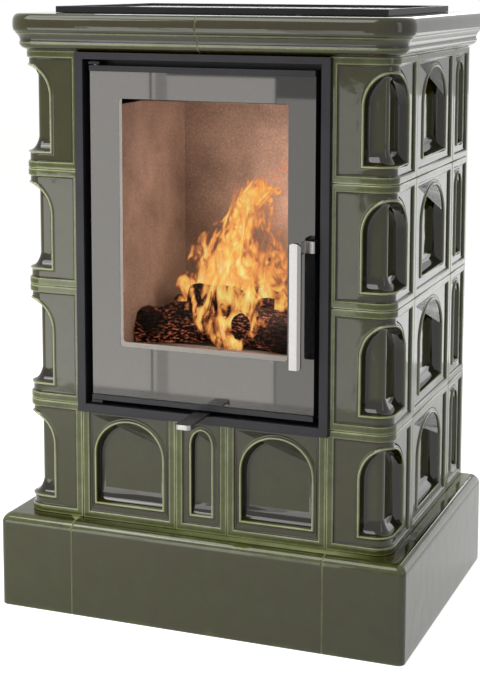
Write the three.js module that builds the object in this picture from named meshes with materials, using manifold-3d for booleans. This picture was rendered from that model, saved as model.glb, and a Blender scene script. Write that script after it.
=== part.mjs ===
// Tiled stove, in millimetres. +Z is up, the front faces -Y and +X is to its right.
// The origin is on the floor, under the middle of the overall width and depth.
//
// A welded steel firebox stands on a base frame inside glazed ceramic cladding: a plinth, four
// rows of relief tiles and a cornice. The glass door hangs in a steel surround, a latch handle
// turns on its right-hand stile, and an air control tongue slides out below it.
//
// Inside the body, y is measured back from the plane of the front tiles' faces.

import * as THREE from 'three';
import { mergeVertices } from 'three/addons/utils/BufferGeometryUtils.js';
import Module from 'manifold-3d';

const wasm = await Module();
wasm.setup();

// ---- driving dimensions ----

const TOUCH = 0.3; // air left between pieces that rest on each other
const JOINT = 0.4; // width of the joint between neighbouring tiles
const SHEET = 4; // firebox plate thickness
const CURVE_STEPS = 12; // segments on a half circle

// cladding grid
const ROWS = 4;
const ROW_HEIGHT = 220;
const PLINTH_HEIGHT = 180;
const CORNICE_HEIGHT = 68;
const FRONT_FULL = 190; // width of a full tile on the front
const FRONT_HALF = 102; // width of the narrow tile between them
const CORNER_FRONT = 120; // a corner tile's leaf on the front
const CORNER_SIDE = 140; // and its leaf on the side
const SIDE_FULL = 264;
const SIDE_HALF = 126;
const CORNER_RADIUS = 34;

// tile section
const TILE_DEPTH = 45;
const TILE_WALL = 11; // collar round the hollow back
const TILE_POCKET = 35; // depth of the hollow's floor behind the face
const EDGE = 2; // bevel on the face's edges
const BAND = 12; // flat band round the panel
const STEP = 3; // width of the slope from band to panel
const PANEL_DEPTH = 4;
const RIM = 2.5; // width of each side of the raised rim round a niche
const RIM_DEPTH = 1;
const NICHE_DEPTH = 21;
const SLOT_DEPTH = 14; // the same on half tiles
const NICHE_FOOT = 31; // sill lip above the tile's lower edge
const NICHE_HEAD = 27; // arch crown below its upper edge
const SILL_RISE = 24; // height the sill gains as it runs inwards
const COVE = 9; // how far the niche narrows from mouth to back

// plinth and cornice
const PLINTH_OVERHANG = 38;
const PLINTH_REAR = 2; // how far it passes the rear tiles
const PLINTH_WALL = 30;
const PLINTH_LEDGE = 50; // ledge under the tiles, behind their faces
const PLINTH_ROLL = 18; // radius of the rounded top edge
const PLINTH_CORNER = 12;
const PLINTH_JOINT_X = 248; // joints between front piece and corner pieces
const CORNICE_SIDE = 45; // depth of the cornice behind the side faces
const CORNICE_FRONT = 80; // and behind the front face

// door and surround
const FRAME_TOP = 1059;
const FRAME_BOTTOM = 388;
const FRAME_HALF = 246;
const FRAME_SIDE_BAR = 17;
const FRAME_TOP_BAR = 13;
const FRAME_BOTTOM_BAR = 16;
const FRAME_PROUD = 8; // how far it stands in front of the tiles
const FRAME_COLLAR = 32; // how far it reaches behind their faces
const FRAME_SHEET = 3;
const DOOR_GAP_SIDE = 11.5;
const DOOR_GAP_TOP = 11;
const DOOR_GAP_BOTTOM = 9;
const GLASS = 4;
const STRIP = 10; // height of the clamping strips
const DOOR_DEPTH = 19; // back of the door frame behind the glass
const DOOR_STILE = 29.5;
const DOOR_BOTTOM_RAIL = 37;
const DOOR_TOP_RAIL = 32;
const SEAL = 8;
const HINGE_INSET = 7.5; // hinge axis inside the door's left edge
const HINGE_Y = 7;
const PIN_RADIUS = 3.5;
const RUNNING = 0.3; // clearance round a pin or spindle
const PIN_LENGTH = 32;
const LUG = 5;

// handle
const BAR_LENGTH = 224;
const BAR_WIDTH = 22;
const BAR_DEPTH = 10;
const BAR_TOP = 739;
const BAR_INSET = 21.5; // bar's centre inside the door's right edge
const BAR_REACH = 50; // front of the bar before the tile faces
const ARM_HEIGHT = 21;
const ARM_SHEET = 3;
const ARM_TURN = 17; // where the arm turns across the glass
const SPINDLE_RADIUS = 3;
const SPINDLE_INSET = 4.5;
const SPINDLE_Y = 6;
const NOTCH_DEPTH = 12.5;
const NOTCH_HEIGHT = 50;
const CAM_REACH = 15;
const CAM_HEIGHT = 5;
const KEEPER_HEIGHT = 20;

// air control
const LEVER_REACH = 98; // tip before the tile faces
const LEVER_WIDTH = 30;
const LEVER_X = 6;
const LEVER_SHEET = 4;
const LEVER_LIP = 5;
const SLIDE_HALF = 60;
const AIR_HOLE_WIDTH = 90;
const AIR_HOLE_LENGTH = 46;
const AIR_HOLE_Y = 210;

// firebox
const FLANGE_TOP = 1044;
const SHELL_HALF = 208;
const SHELL_TOP = 1020;
const SHELL_REAR = 377;
const MOUTH_HALF = 185;
const MOUTH_BOTTOM = 446;
const MOUTH_TOP = 1000;
const HOOD_HALF = 120;
const HOOD_FRONT = 190;
const HOOD_TOP = 1118;
const SHELF_Z = 441; // shelf under the ash pan; air rises before its front edge
const PAN_FRONT = 48;
const HEARTH_FRONT = 46;
const GRATE_HALF = 100;
const GRATE_FRONT = 120;
const GRATE_LENGTH = 156;
const GRATE_DEPTH = 10;
const GRATE_SLOTS = 8;
const HEARTH_Z = 503; // top of the hearth floor
const LINING = 25;
const LINING_TOP = 962;
const BAFFLE_FRONT = 130;
const BAFFLE_DEPTH = 22;
const FLUE_RADIUS = 75;
const FLUE_Z = 1040;
const FLUE_WALL = 3;
const VENT_ROWS = 3; // air slots low in the back panel
const VENT_COLUMNS = 4;
const VENT_PITCH = 130;
const VENT_LENGTH = 100;
const VENT_HEIGHT = 12;
const VENT_RISE = 30;
const VENT_BOTTOM = 24;
const REAR_REACH = 550; // end of the flue spigot behind the tile faces
const POST = 30; // base frame's square bar
const POST_INSET = 8;
const POST_FRONT = 57;
const RAIL_Z = 20;
const AIR_RADIUS = 50;
const AIR_Z = 350;

// top
const TOP_HALF = 324;
const TOP_FRONT = 72;
const TOP_REAR = 495;
const TOP_RISE = 12; // height of the top frame over the cornice
const TOP_WALL = 6;
const TOP_LIP = 16;
const GRILLE_SHEET = 3;
const GRILLE_BORDER = 22;
const GRILLE_COLUMNS = 8;
const GRILLE_ROWS = 5;

// ---- worked out from them ----

const HALF_WIDTH = FRONT_HALF / 2 + FRONT_FULL + CORNER_FRONT;
const BODY_DEPTH = CORNER_SIDE + SIDE_FULL + SIDE_HALF;
const TILE_TOP = PLINTH_HEIGHT + ROWS * ROW_HEIGHT;
const CORNICE_TOP = TILE_TOP + CORNICE_HEIGHT;
const FACE_Y = (LEVER_REACH - REAR_REACH) / 2; // centres the overall depth on the origin

const FRAME_IN_HALF = FRAME_HALF - FRAME_SIDE_BAR;
const FRAME_IN_TOP = FRAME_TOP - FRAME_TOP_BAR;
const FRAME_IN_BOTTOM = FRAME_BOTTOM + FRAME_BOTTOM_BAR;
const DOOR_HALF = FRAME_IN_HALF - DOOR_GAP_SIDE;
const DOOR_TOP = FRAME_IN_TOP - DOOR_GAP_TOP;
const DOOR_BOTTOM = FRAME_IN_BOTTOM + DOOR_GAP_BOTTOM;
const SEAL_BACK = DOOR_DEPTH + TOUCH + SEAL;
const FLANGE_Y = SEAL_BACK + TOUCH;
const FLANGE_HALF = FRAME_IN_HALF - TOUCH; // fits inside the surround's collar
const HINGE_X = -DOOR_HALF + HINGE_INSET;
const SPINDLE_X = DOOR_HALF - SPINDLE_INSET;
const BAR_X = DOOR_HALF - BAR_INSET;
const LEVER_Z = FRAME_IN_BOTTOM + 2.3;
const SHELL_BOTTOM = LEVER_Z + LEVER_SHEET + TOUCH;
const PANEL_Y = BODY_DEPTH - 7;

// ---- materials ----

function paint(color, roughness, metalness) {
  return new THREE.MeshStandardMaterial({ color, roughness, metalness });
}

const GLAZE = () => paint(0x6b6e45, 0.12, 0);
const BLACK_STEEL = () => paint(0x3c3b41, 0.5, 0.4);
const STAINLESS = () => paint(0xd8d5d2, 0.25, 1);
const GLASS_PRINT = () => paint(0x55565a, 0.05, 0);
const VERMICULITE = () => paint(0xb59a72, 0.9, 0);
const CAST_IRON = () => paint(0x2b2b2d, 0.7, 0.5);
const ZINC_SHEET = () => paint(0x9a9ca0, 0.45, 0.8);
const ROPE = () => paint(0x6d6a62, 0.95, 0);

// ---- solids and booleans ----

function solid(geometry) {
  const bare = geometry.index ? geometry.toNonIndexed() : geometry.clone();
  bare.deleteAttribute('normal');
  bare.deleteAttribute('uv');
  const merged = mergeVertices(bare, 1e-4);
  return new wasm.Manifold(
    new wasm.Mesh({
      numProp: 3,
      vertProperties: new Float32Array(merged.attributes.position.array),
      triVerts: new Uint32Array(merged.index.array),
    }),
  );
}

function shape(result) {
  const { vertProperties, triVerts } = result.getMesh();
  const geometry = new THREE.BufferGeometry();
  geometry.setAttribute('position', new THREE.BufferAttribute(vertProperties.slice(), 3));
  geometry.setIndex(new THREE.BufferAttribute(triVerts.slice(), 1));
  const flat = geometry.toNonIndexed();
  flat.computeVertexNormals();
  return flat;
}

function join(...geometries) {
  return shape(geometries.map(solid).reduce((whole, next) => whole.add(next)));
}

function cut(base, ...tools) {
  return shape(tools.map(solid).reduce((whole, tool) => whole.subtract(tool), solid(base)));
}

function common(a, b) {
  return shape(solid(a).intersect(solid(b)));
}

function box(x0, x1, y0, y1, z0, z1) {
  const geometry = new THREE.BoxGeometry(x1 - x0, y1 - y0, z1 - z0);
  return geometry.translate((x0 + x1) / 2, (y0 + y1) / 2, (z0 + z1) / 2);
}

// An outline's points, without any that falls on the next one.
function distinct(points) {
  const apart = 1e-3;
  return points.filter((p, k) => p.distanceTo(points[(k + 1) % points.length]) > apart);
}

function plate(outline, z0, z1, bevel = 0, detail = CURVE_STEPS / 2) {
  const drawn = outline.extractPoints(detail);
  const clean = new THREE.Shape(distinct(drawn.shape));
  clean.holes = drawn.holes.map((hole) => new THREE.Path(distinct(hole)));
  const geometry = new THREE.ExtrudeGeometry(clean, {
    depth: z1 - z0 - 2 * bevel,
    bevelEnabled: bevel > 0,
    bevelThickness: bevel,
    bevelSize: bevel,
    bevelOffset: -bevel,
    bevelSegments: 1,
  });
  return geometry.translate(0, 0, z0 + bevel);
}

// An outline drawn in x and z, pulled back from y0 to y1.
function upright(outline, y0, y1, bevel = 0) {
  return plate(outline, -y1, -y0, bevel).rotateX(Math.PI / 2);
}

function rectangle(x0, x1, y0, y1) {
  const outline = new THREE.Shape();
  outline.moveTo(x0, y0).lineTo(x1, y0).lineTo(x1, y1).lineTo(x0, y1).closePath();
  return outline;
}

function ringOutline(outer, inner) {
  const outline = rectangle(...outer);
  outline.holes.push(rectangle(...inner));
  return outline;
}

function circle(x, y, radius, steps = CURVE_STEPS) {
  const points = Array.from({ length: steps }, (_, k) => {
    const turn = (2 * Math.PI * k) / steps;
    return new THREE.Vector2(x + radius * Math.cos(turn), y + radius * Math.sin(turn));
  });
  return new THREE.Path(points);
}

function rod(radius, length, steps = CURVE_STEPS) {
  return new THREE.CylinderGeometry(radius, radius, length, steps).rotateX(Math.PI / 2);
}

// A pipe along y, open at both ends, with a collar at its near end.
function pipe(radius, wall, collar, collarDepth, length) {
  const profile = [
    [radius - wall, 0],
    [radius + collar, 0],
    [radius + collar, collarDepth],
    [radius, collarDepth],
    [radius, length],
    [radius - wall, length],
    [radius - wall, 0],
  ].map(([r, y]) => new THREE.Vector2(r, y));
  return new THREE.LatheGeometry(profile, CURVE_STEPS * 2);
}

// ---- skins drawn from ring to ring ----

// Gathers the triangles between successive rings of points into one closed geometry.
class Skin {
  constructor() {
    this.corners = [];
  }

  triangle(a, b, c) {
    const apart = 1e-3;
    if (a.distanceTo(b) < apart || b.distanceTo(c) < apart || c.distanceTo(a) < apart) {
      return;
    }
    this.corners.push(a, b, c);
  }

  // The strip between two runs of stations, each a list of { s, point } with s rising.
  strip(near, far) {
    let i = 0;
    let j = 0;
    while (i < near.length - 1 || j < far.length - 1) {
      const nearFirst =
        j === far.length - 1 || (i < near.length - 1 && near[i + 1].s <= far[j + 1].s);
      if (nearFirst) {
        this.triangle(near[i].point, near[i + 1].point, far[j].point);
        i += 1;
      } else {
        this.triangle(near[i].point, far[j + 1].point, far[j].point);
        j += 1;
      }
    }
  }

  geometry() {
    let volume = 0;
    for (let k = 0; k < this.corners.length; k += 3) {
      const [a, b, c] = this.corners.slice(k, k + 3);
      volume += a.dot(b.clone().cross(c));
    }
    const points = volume < 0 ? this.corners.slice().reverse() : this.corners;
    const geometry = new THREE.BufferGeometry().setFromPoints(points);
    geometry.computeVertexNormals();
    return geometry;
  }
}

// ---- tiles ----

// The developed face of a flat tile: s runs along it, d goes in from its face.
function flatPath(length) {
  return { length, bends: [], middle: length / 2, at: (s, d, z) => new THREE.Vector3(s, d, z) };
}

// The same for a corner tile, whose side leaf turns back round a rounded corner.
function cornerPath(front, side) {
  const start = front - CORNER_RADIUS;
  const arc = (CORNER_RADIUS * Math.PI) / 2;
  const end = start + arc;
  const steps = CURVE_STEPS / 2 - 1;
  const bends = Array.from({ length: steps + 1 }, (_, k) => start + (arc * k) / steps);
  const at = (s, d, z) => {
    if (s <= start) return new THREE.Vector3(Math.min(s, front - d), d, z);
    if (s >= end) return new THREE.Vector3(front - d, Math.max(CORNER_RADIUS + s - end, d), z);
    const reach = Math.max(CORNER_RADIUS - d, 0);
    if (reach === 0) return new THREE.Vector3(front - d, d, z);
    const turn = (s - start) / CORNER_RADIUS;
    const x = start + reach * Math.sin(turn);
    const y = CORNER_RADIUS - reach * Math.cos(turn);
    return new THREE.Vector3(x, y, z);
  };
  return { length: end + side - CORNER_RADIUS, bends, middle: start + arc / 2, at };
}

// Stations of a straight edge: its ends and the path's bends between them.
function edgeStations(path, s0, s1) {
  return [s0, ...path.bends.filter((s) => s > s0 && s < s1), s1];
}

// A rectangular ring of the relief, inset from the tile's outline, at depth d.
function frameRing(path, height, inset, d, bends = path.bends) {
  const run = edgeStations({ bends }, inset, path.length - inset);
  const side = (z) => run.map((s) => ({ s, point: path.at(s, d, z) }));
  return { low: side(inset), high: side(height - inset) };
}

// An arched ring: straight sides on a flat foot, with an elliptic head.
function archRing(path, arch, inset, d, foot) {
  const left = arch.left - inset;
  const right = arch.right - inset;
  const rise = arch.rise - inset;
  const spring = arch.crown - arch.rise;
  const s0 = path.middle - left;
  const s1 = path.middle + right;
  const curve = Array.from({ length: arch.steps + 1 }, (_, k) => {
    const u = -Math.cos((Math.PI * k) / arch.steps);
    return path.middle + u * (u < 0 ? left : right);
  });
  const apart = 2.5;
  const inner = curve.slice(1, -1).filter((s) => path.bends.every((b) => Math.abs(b - s) > apart));
  const high = [...inner, ...edgeStations(path, s0, s1)].sort((a, b) => a - b);
  const level = (s) => {
    const u = (s - path.middle) / (s < path.middle ? left : right);
    return spring + rise * Math.sqrt(Math.max(0, 1 - u * u));
  };
  return {
    low: edgeStations(path, s0, s1).map((s) => ({ s, point: path.at(s, d, foot) })),
    high: high.map((s) => ({ s, point: path.at(s, d, level(s)) })),
  };
}

function reliefTile(path, arch, nicheDepth) {
  const height = ROW_HEIGHT - JOINT;
  const backBends = path.bends.length ? [path.middle] : [];
  const back = (inset, d) => frameRing(path, height, inset, d, backBends);
  const rings = [
    back(TILE_WALL, TILE_POCKET),
    back(TILE_WALL, TILE_DEPTH),
    back(0, TILE_DEPTH),
    frameRing(path, height, 0, EDGE),
    frameRing(path, height, EDGE, 0),
    frameRing(path, height, BAND, 0),
    frameRing(path, height, BAND + STEP, PANEL_DEPTH),
    archRing(path, arch, -RIM, PANEL_DEPTH, NICHE_FOOT - RIM),
    archRing(path, arch, 0, RIM_DEPTH, NICHE_FOOT),
    archRing(path, arch, RIM, nicheDepth * 0.55, NICHE_FOOT + RIM),
    archRing(path, arch, arch.cove, nicheDepth, NICHE_FOOT + SILL_RISE),
  ];
  const skin = new Skin();
  const first = rings[0];
  const last = rings[rings.length - 1];
  skin.strip(first.high, first.low);
  for (let k = 0; k < rings.length - 1; k += 1) {
    const outer = rings[k];
    const inner = rings[k + 1];
    const ends = (ring, pick) => ({ low: pick(ring.low).point, high: pick(ring.high).point });
    const right = [outer, inner].map((ring) => ends(ring, (run) => run[run.length - 1]));
    const left = [outer, inner].map((ring) => ends(ring, (run) => run[0]));
    skin.strip(outer.low, inner.low);
    skin.strip(inner.high, outer.high);
    skin.triangle(right[0].low, right[0].high, right[1].high);
    skin.triangle(right[0].low, right[1].high, right[1].low);
    skin.triangle(left[0].high, left[0].low, left[1].low);
    skin.triangle(left[0].high, left[1].low, left[1].high);
  }
  skin.strip(last.low, last.high);
  return skin.geometry();
}

// A niche's outline on a tile: half widths each side of its middle, crown height and head rise.
function niche(left, right, rise, steps = CURVE_STEPS, cove = COVE) {
  return { left, right, rise, steps, cove, crown: ROW_HEIGHT - NICHE_HEAD };
}

const FULL_SHARE = 0.365; // half a full niche's width over its tile's
const SIDE_SHARE = 0.31;
const FULL_NICHE_RISE = 66;
const SLOT_HALF = 21.5;
const SLOT_RISE = 30;
const SLOT_COVE = 6;
const CORNER_NICHE_FRONT = 60; // how far the wrapped niche reaches from the sharp corner
const CORNER_NICHE_SIDE = 90;
const CORNER_NICHE_RISE = 60;
const SLOT_STEPS = 8;

const cornerTrim = CORNER_RADIUS * (1 - Math.PI / 4);
const fullArch = (width, share) => niche(width * share, width * share, FULL_NICHE_RISE);
const slotArch = () => niche(SLOT_HALF, SLOT_HALF, SLOT_RISE, SLOT_STEPS, SLOT_COVE);
const cornerArch = () =>
  niche(CORNER_NICHE_FRONT - cornerTrim, CORNER_NICHE_SIDE - cornerTrim, CORNER_NICHE_RISE);

function mirrored(geometry) {
  const flipped = shape(solid(geometry).mirror([1, 0, 0]));
  return flipped;
}

function tiles(body) {
  const corner = reliefTile(
    cornerPath(CORNER_FRONT - JOINT, CORNER_SIDE - JOINT),
    cornerArch(),
    NICHE_DEPTH,
  );
  const geometries = {
    cornerRight: corner,
    cornerLeft: mirrored(corner),
    frontFull: reliefTile(
      flatPath(FRONT_FULL - JOINT),
      fullArch(FRONT_FULL, FULL_SHARE),
      NICHE_DEPTH,
    ),
    frontHalf: reliefTile(flatPath(FRONT_HALF - JOINT), slotArch(), SLOT_DEPTH),
    sideFull: reliefTile(flatPath(SIDE_FULL - JOINT), fullArch(SIDE_FULL, SIDE_SHARE), NICHE_DEPTH),
    sideHalf: reliefTile(flatPath(SIDE_HALF - JOINT), slotArch(), SLOT_DEPTH),
  };
  const put = (name, geometry, x, y, z, turn = 0) => {
    const mesh = add(body, name, geometry, GLAZE());
    mesh.position.set(x, y, z);
    mesh.rotation.z = turn;
  };
  const quarter = Math.PI / 2;
  const cornerX = HALF_WIDTH - CORNER_FRONT + JOINT;
  for (let row = 0; row < ROWS; row += 1) {
    const z = PLINTH_HEIGHT + row * ROW_HEIGHT + JOINT;
    const label = row + 1;
    put(`tile_corner_right_${label}`, geometries.cornerRight, cornerX, 0, z);
    put(`tile_corner_left_${label}`, geometries.cornerLeft, -cornerX, 0, z);
    const full = CORNER_SIDE;
    const half = CORNER_SIDE + SIDE_FULL;
    put(`tile_side_right_full_${label}`, geometries.sideFull, HALF_WIDTH, full, z, quarter);
    put(`tile_side_right_half_${label}`, geometries.sideHalf, HALF_WIDTH, half, z, quarter);
    const fullEnd = full + SIDE_FULL - JOINT;
    const halfEnd = half + SIDE_HALF - JOINT;
    put(`tile_side_left_full_${label}`, geometries.sideFull, -HALF_WIDTH, fullEnd, z, -quarter);
    put(`tile_side_left_half_${label}`, geometries.sideHalf, -HALF_WIDTH, halfEnd, z, -quarter);
  }
  const z = PLINTH_HEIGHT + JOINT;
  const gap = JOINT / 2;
  put('tile_front_left', geometries.frontFull, -FRONT_HALF / 2 - FRONT_FULL + gap, 0, z);
  put('tile_front_middle', geometries.frontHalf, -FRONT_HALF / 2 + gap, 0, z);
  put('tile_front_right', geometries.frontFull, FRONT_HALF / 2 + gap, 0, z);
}

// ---- plinth and cornice: runs moulded level by level ----

// Stacks plan rings into one closed run. Each level gives its height and its plan ring.
function mouldedRun(levels) {
  const skin = new Skin();
  const rings = levels.map(({ z, ring }) => ring.map((p) => new THREE.Vector3(p.x, p.y, z)));
  const cap = (ring, plan, up) => {
    for (const [a, b, c] of THREE.ShapeUtils.triangulateShape(plan, [])) {
      if (up) skin.triangle(ring[a], ring[b], ring[c]);
      else skin.triangle(ring[c], ring[b], ring[a]);
    }
  };
  const lastLevel = levels.length - 1;
  cap(rings[0], levels[0].ring, false);
  for (let k = 0; k < lastLevel; k += 1) {
    const under = rings[k];
    const over = rings[k + 1];
    under.forEach((point, i) => {
      const next = (i + 1) % under.length;
      skin.triangle(point, under[next], over[next]);
      skin.triangle(point, over[next], over[i]);
    });
  }
  cap(rings[lastLevel], levels[lastLevel].ring, true);
  return skin.geometry();
}

// Plan of an L-shaped run on the right-hand corner, from x0 on the front to y1 on the side.
// out is how far it stands before the tile faces; front and side are its depths behind them.
function cornerPlan(x0, y1, out, radius, front, side) {
  const x = HALF_WIDTH + out;
  const steps = 6;
  const points = [new THREE.Vector2(x0, -out)];
  for (let k = 0; k <= steps; k += 1) {
    const turn = (Math.PI / 2) * (k / steps);
    points.push(
      new THREE.Vector2(x - radius + radius * Math.sin(turn), radius - out - radius * Math.cos(turn)),
    );
  }
  points.push(new THREE.Vector2(x, y1));
  points.push(new THREE.Vector2(HALF_WIDTH - side, y1));
  points.push(new THREE.Vector2(HALF_WIDTH - side, front));
  points.push(new THREE.Vector2(x0, front));
  return points;
}

function straightPlan(x0, x1, out, front) {
  return [
    [x0, -out],
    [x1, -out],
    [x1, front],
    [x0, front],
  ].map(([x, y]) => new THREE.Vector2(x, y));
}

// Heights up the plinth with how far each stands out and how deep the piece is there.
function plinthLevels() {
  const ledgeUnder = PLINTH_HEIGHT - 25;
  const wallIn = PLINTH_WALL - PLINTH_OVERHANG;
  const footBevel = 2;
  const levels = [
    { z: 0, out: PLINTH_OVERHANG - footBevel, inside: wallIn },
    { z: footBevel, out: PLINTH_OVERHANG, inside: wallIn },
    { z: ledgeUnder, out: PLINTH_OVERHANG, inside: wallIn },
    { z: ledgeUnder, out: PLINTH_OVERHANG, inside: PLINTH_LEDGE },
  ];
  const steps = 5;
  for (let k = 0; k <= steps; k += 1) {
    const turn = (Math.PI / 2) * (k / steps);
    levels.push({
      z: PLINTH_HEIGHT - PLINTH_ROLL * (1 - Math.sin(turn)),
      out: PLINTH_OVERHANG - PLINTH_ROLL * (1 - Math.cos(turn)),
      inside: PLINTH_LEDGE,
    });
  }
  return levels;
}

function plinth(body) {
  const rear = BODY_DEPTH + PLINTH_REAR;
  const x = PLINTH_JOINT_X + JOINT / 2;
  const levels = plinthLevels();
  const corner = mouldedRun(
    levels.map(({ z, out, inside }) => ({
      z,
      ring: cornerPlan(x, rear, out, PLINTH_CORNER, inside, inside),
    })),
  );
  const front = mouldedRun(
    levels.map(({ z, out, inside }) => ({
      z,
      ring: straightPlan(-PLINTH_JOINT_X + JOINT / 2, PLINTH_JOINT_X - JOINT / 2, out, inside),
    })),
  );
  add(body, 'plinth_corner_right', corner, GLAZE());
  add(body, 'plinth_corner_left', mirrored(corner), GLAZE());
  add(body, 'plinth_front', front, GLAZE());
}

// The cornice's moulding from the tiles upwards: [height, overhang] pairs.
function corniceProfile() {
  const profile = [[0, 1]];
  const ovolo = 12;
  const quarter = 3;
  for (let k = 0; k <= quarter; k += 1) {
    const turn = (Math.PI / 2) * (k / quarter);
    profile.push([2 + ovolo * (1 - Math.cos(turn)), 2 + ovolo * Math.sin(turn)]);
  }
  profile.push([16, 14]);
  profile.push([16, 12]);
  profile.push([24, 14]);
  profile.push([31, 20]);
  profile.push([34, 20.5]);
  profile.push([36, 24]);
  profile.push([46, 26]);
  profile.push([58, 25.5]);
  profile.push([64, 22.5]);
  profile.push([68, 17]);
  return profile.map(([z, out]) => ({ z: (z * CORNICE_HEIGHT) / 68, out }));
}

function cornice(body) {
  const gap = JOINT / 2;
  const half = mouldedRun(
    corniceProfile().map(({ z, out }) => ({
      z: TILE_TOP + TOUCH + z * (1 - TOUCH / CORNICE_HEIGHT),
      ring: cornerPlan(gap, BODY_DEPTH, out, CORNER_RADIUS + out, CORNICE_FRONT, CORNICE_SIDE),
    })),
  );
  add(body, 'cornice_right', half, GLAZE());
  add(body, 'cornice_left', mirrored(half), GLAZE());
}

// ---- surround and door ----

function surround(body) {
  const outer = [-FRAME_HALF, FRAME_HALF, FRAME_BOTTOM, FRAME_TOP];
  const inner = [-FRAME_IN_HALF, FRAME_IN_HALF, FRAME_IN_BOTTOM, FRAME_IN_TOP];
  const grow = ([x0, x1, z0, z1], by) => [x0 - by, x1 + by, z0 - by, z1 + by];
  const face = upright(ringOutline(outer, inner), -FRAME_PROUD, -TOUCH, 0.8);
  const collar = upright(ringOutline(grow(inner, FRAME_SHEET), inner), -FRAME_PROUD / 2, FRAME_COLLAR);
  const opening = upright(rectangle(...inner), -FRAME_PROUD - 1, FRAME_COLLAR + 1);
  add(body, 'surround_frame', cut(join(face, collar), opening), BLACK_STEEL());
}

function doorFrame(door) {
  const outline = rectangle(-DOOR_HALF, DOOR_HALF, DOOR_BOTTOM, DOOR_TOP);
  const holeHalf = DOOR_HALF - DOOR_STILE;
  const holeTop = DOOR_TOP - DOOR_TOP_RAIL;
  outline.holes.push(rectangle(-holeHalf, holeHalf, DOOR_BOTTOM + DOOR_BOTTOM_RAIL, holeTop));
  const notchMiddle = BAR_TOP - ARM_HEIGHT / 2;
  const notch = box(
    DOOR_HALF - NOTCH_DEPTH,
    DOOR_HALF + 1,
    -1,
    DOOR_DEPTH + 1,
    notchMiddle - NOTCH_HEIGHT / 2,
    notchMiddle + NOTCH_HEIGHT / 2,
  );
  const bearing = rod(SPINDLE_RADIUS + RUNNING, NOTCH_HEIGHT + 40);
  bearing.translate(SPINDLE_X, SPINDLE_Y, notchMiddle);
  const bore = PIN_LENGTH - 2;
  const low = rod(PIN_RADIUS + RUNNING, bore * 2).translate(HINGE_X, HINGE_Y, DOOR_BOTTOM);
  const high = rod(PIN_RADIUS + RUNNING, bore * 2).translate(HINGE_X, HINGE_Y, DOOR_TOP);
  const frame = upright(outline, TOUCH, DOOR_DEPTH);
  add(door, 'door_frame', cut(frame, notch, bearing, low, high), BLACK_STEEL());
}

function doorSkin(door) {
  const pane = rectangle(
    -DOOR_HALF,
    DOOR_HALF,
    DOOR_BOTTOM + STRIP + TOUCH,
    DOOR_TOP - STRIP - TOUCH,
  );
  add(door, 'door_glass', upright(pane, -GLASS, 0, 0.5), GLASS_PRINT());
  const proud = 0.6;
  const strip = (name, z) => {
    const bar = rectangle(-DOOR_HALF, DOOR_HALF, z, z + STRIP);
    add(door, name, upright(bar, -GLASS - proud, 0, 0.5), BLACK_STEEL());
  };
  strip('door_strip_bottom', DOOR_BOTTOM);
  strip('door_strip_top', DOOR_TOP - STRIP);
}

function doorSeal(door) {
  const clear = 3;
  const x = MOUTH_HALF + clear + SEAL + 1;
  const z0 = MOUTH_BOTTOM - clear - SEAL + 1;
  const z1 = MOUTH_TOP + clear + SEAL + 1;
  const outer = [-x, x, z0, z1];
  const inner = [-x + SEAL, x - SEAL, z0 + SEAL, z1 - SEAL];
  const rope = upright(ringOutline(outer, inner), DOOR_DEPTH + TOUCH, SEAL_BACK, SEAL / 4);
  add(door, 'door_seal', rope, ROPE());
}

function hingePins(body) {
  const pin = (name, z) => {
    const mesh = add(body, name, rod(PIN_RADIUS, PIN_LENGTH), STAINLESS());
    mesh.position.set(HINGE_X, HINGE_Y, z);
  };
  const past = LUG + DOOR_LUG_GAP - 0.5;
  pin('hinge_pin_bottom', DOOR_BOTTOM + PIN_LENGTH / 2 - past);
  pin('hinge_pin_top', DOOR_TOP - PIN_LENGTH / 2 + past);
}

const DOOR_LUG_GAP = 2;

// The plan outline of a flat strip bent along a line of points.
function bentStrip(line, thickness) {
  const half = thickness / 2;
  const points = line.map(([x, y]) => new THREE.Vector2(x, y));
  const side = (sign) =>
    points.map((point, k) => {
      const before = points[Math.max(k - 1, 0)];
      const after = points[Math.min(k + 1, points.length - 1)];
      const into = point.clone().sub(before);
      const away = after.clone().sub(point);
      if (k === 0) into.copy(away);
      if (k === points.length - 1) away.copy(into);
      const normalIn = new THREE.Vector2(-into.y, into.x).normalize();
      const normalOut = new THREE.Vector2(-away.y, away.x).normalize();
      const mitre = normalIn.clone().add(normalOut).normalize();
      return point.clone().addScaledVector(mitre, (sign * half) / mitre.dot(normalIn));
    });
  return new THREE.Shape([...side(1), ...side(-1).reverse()]);
}

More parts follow.
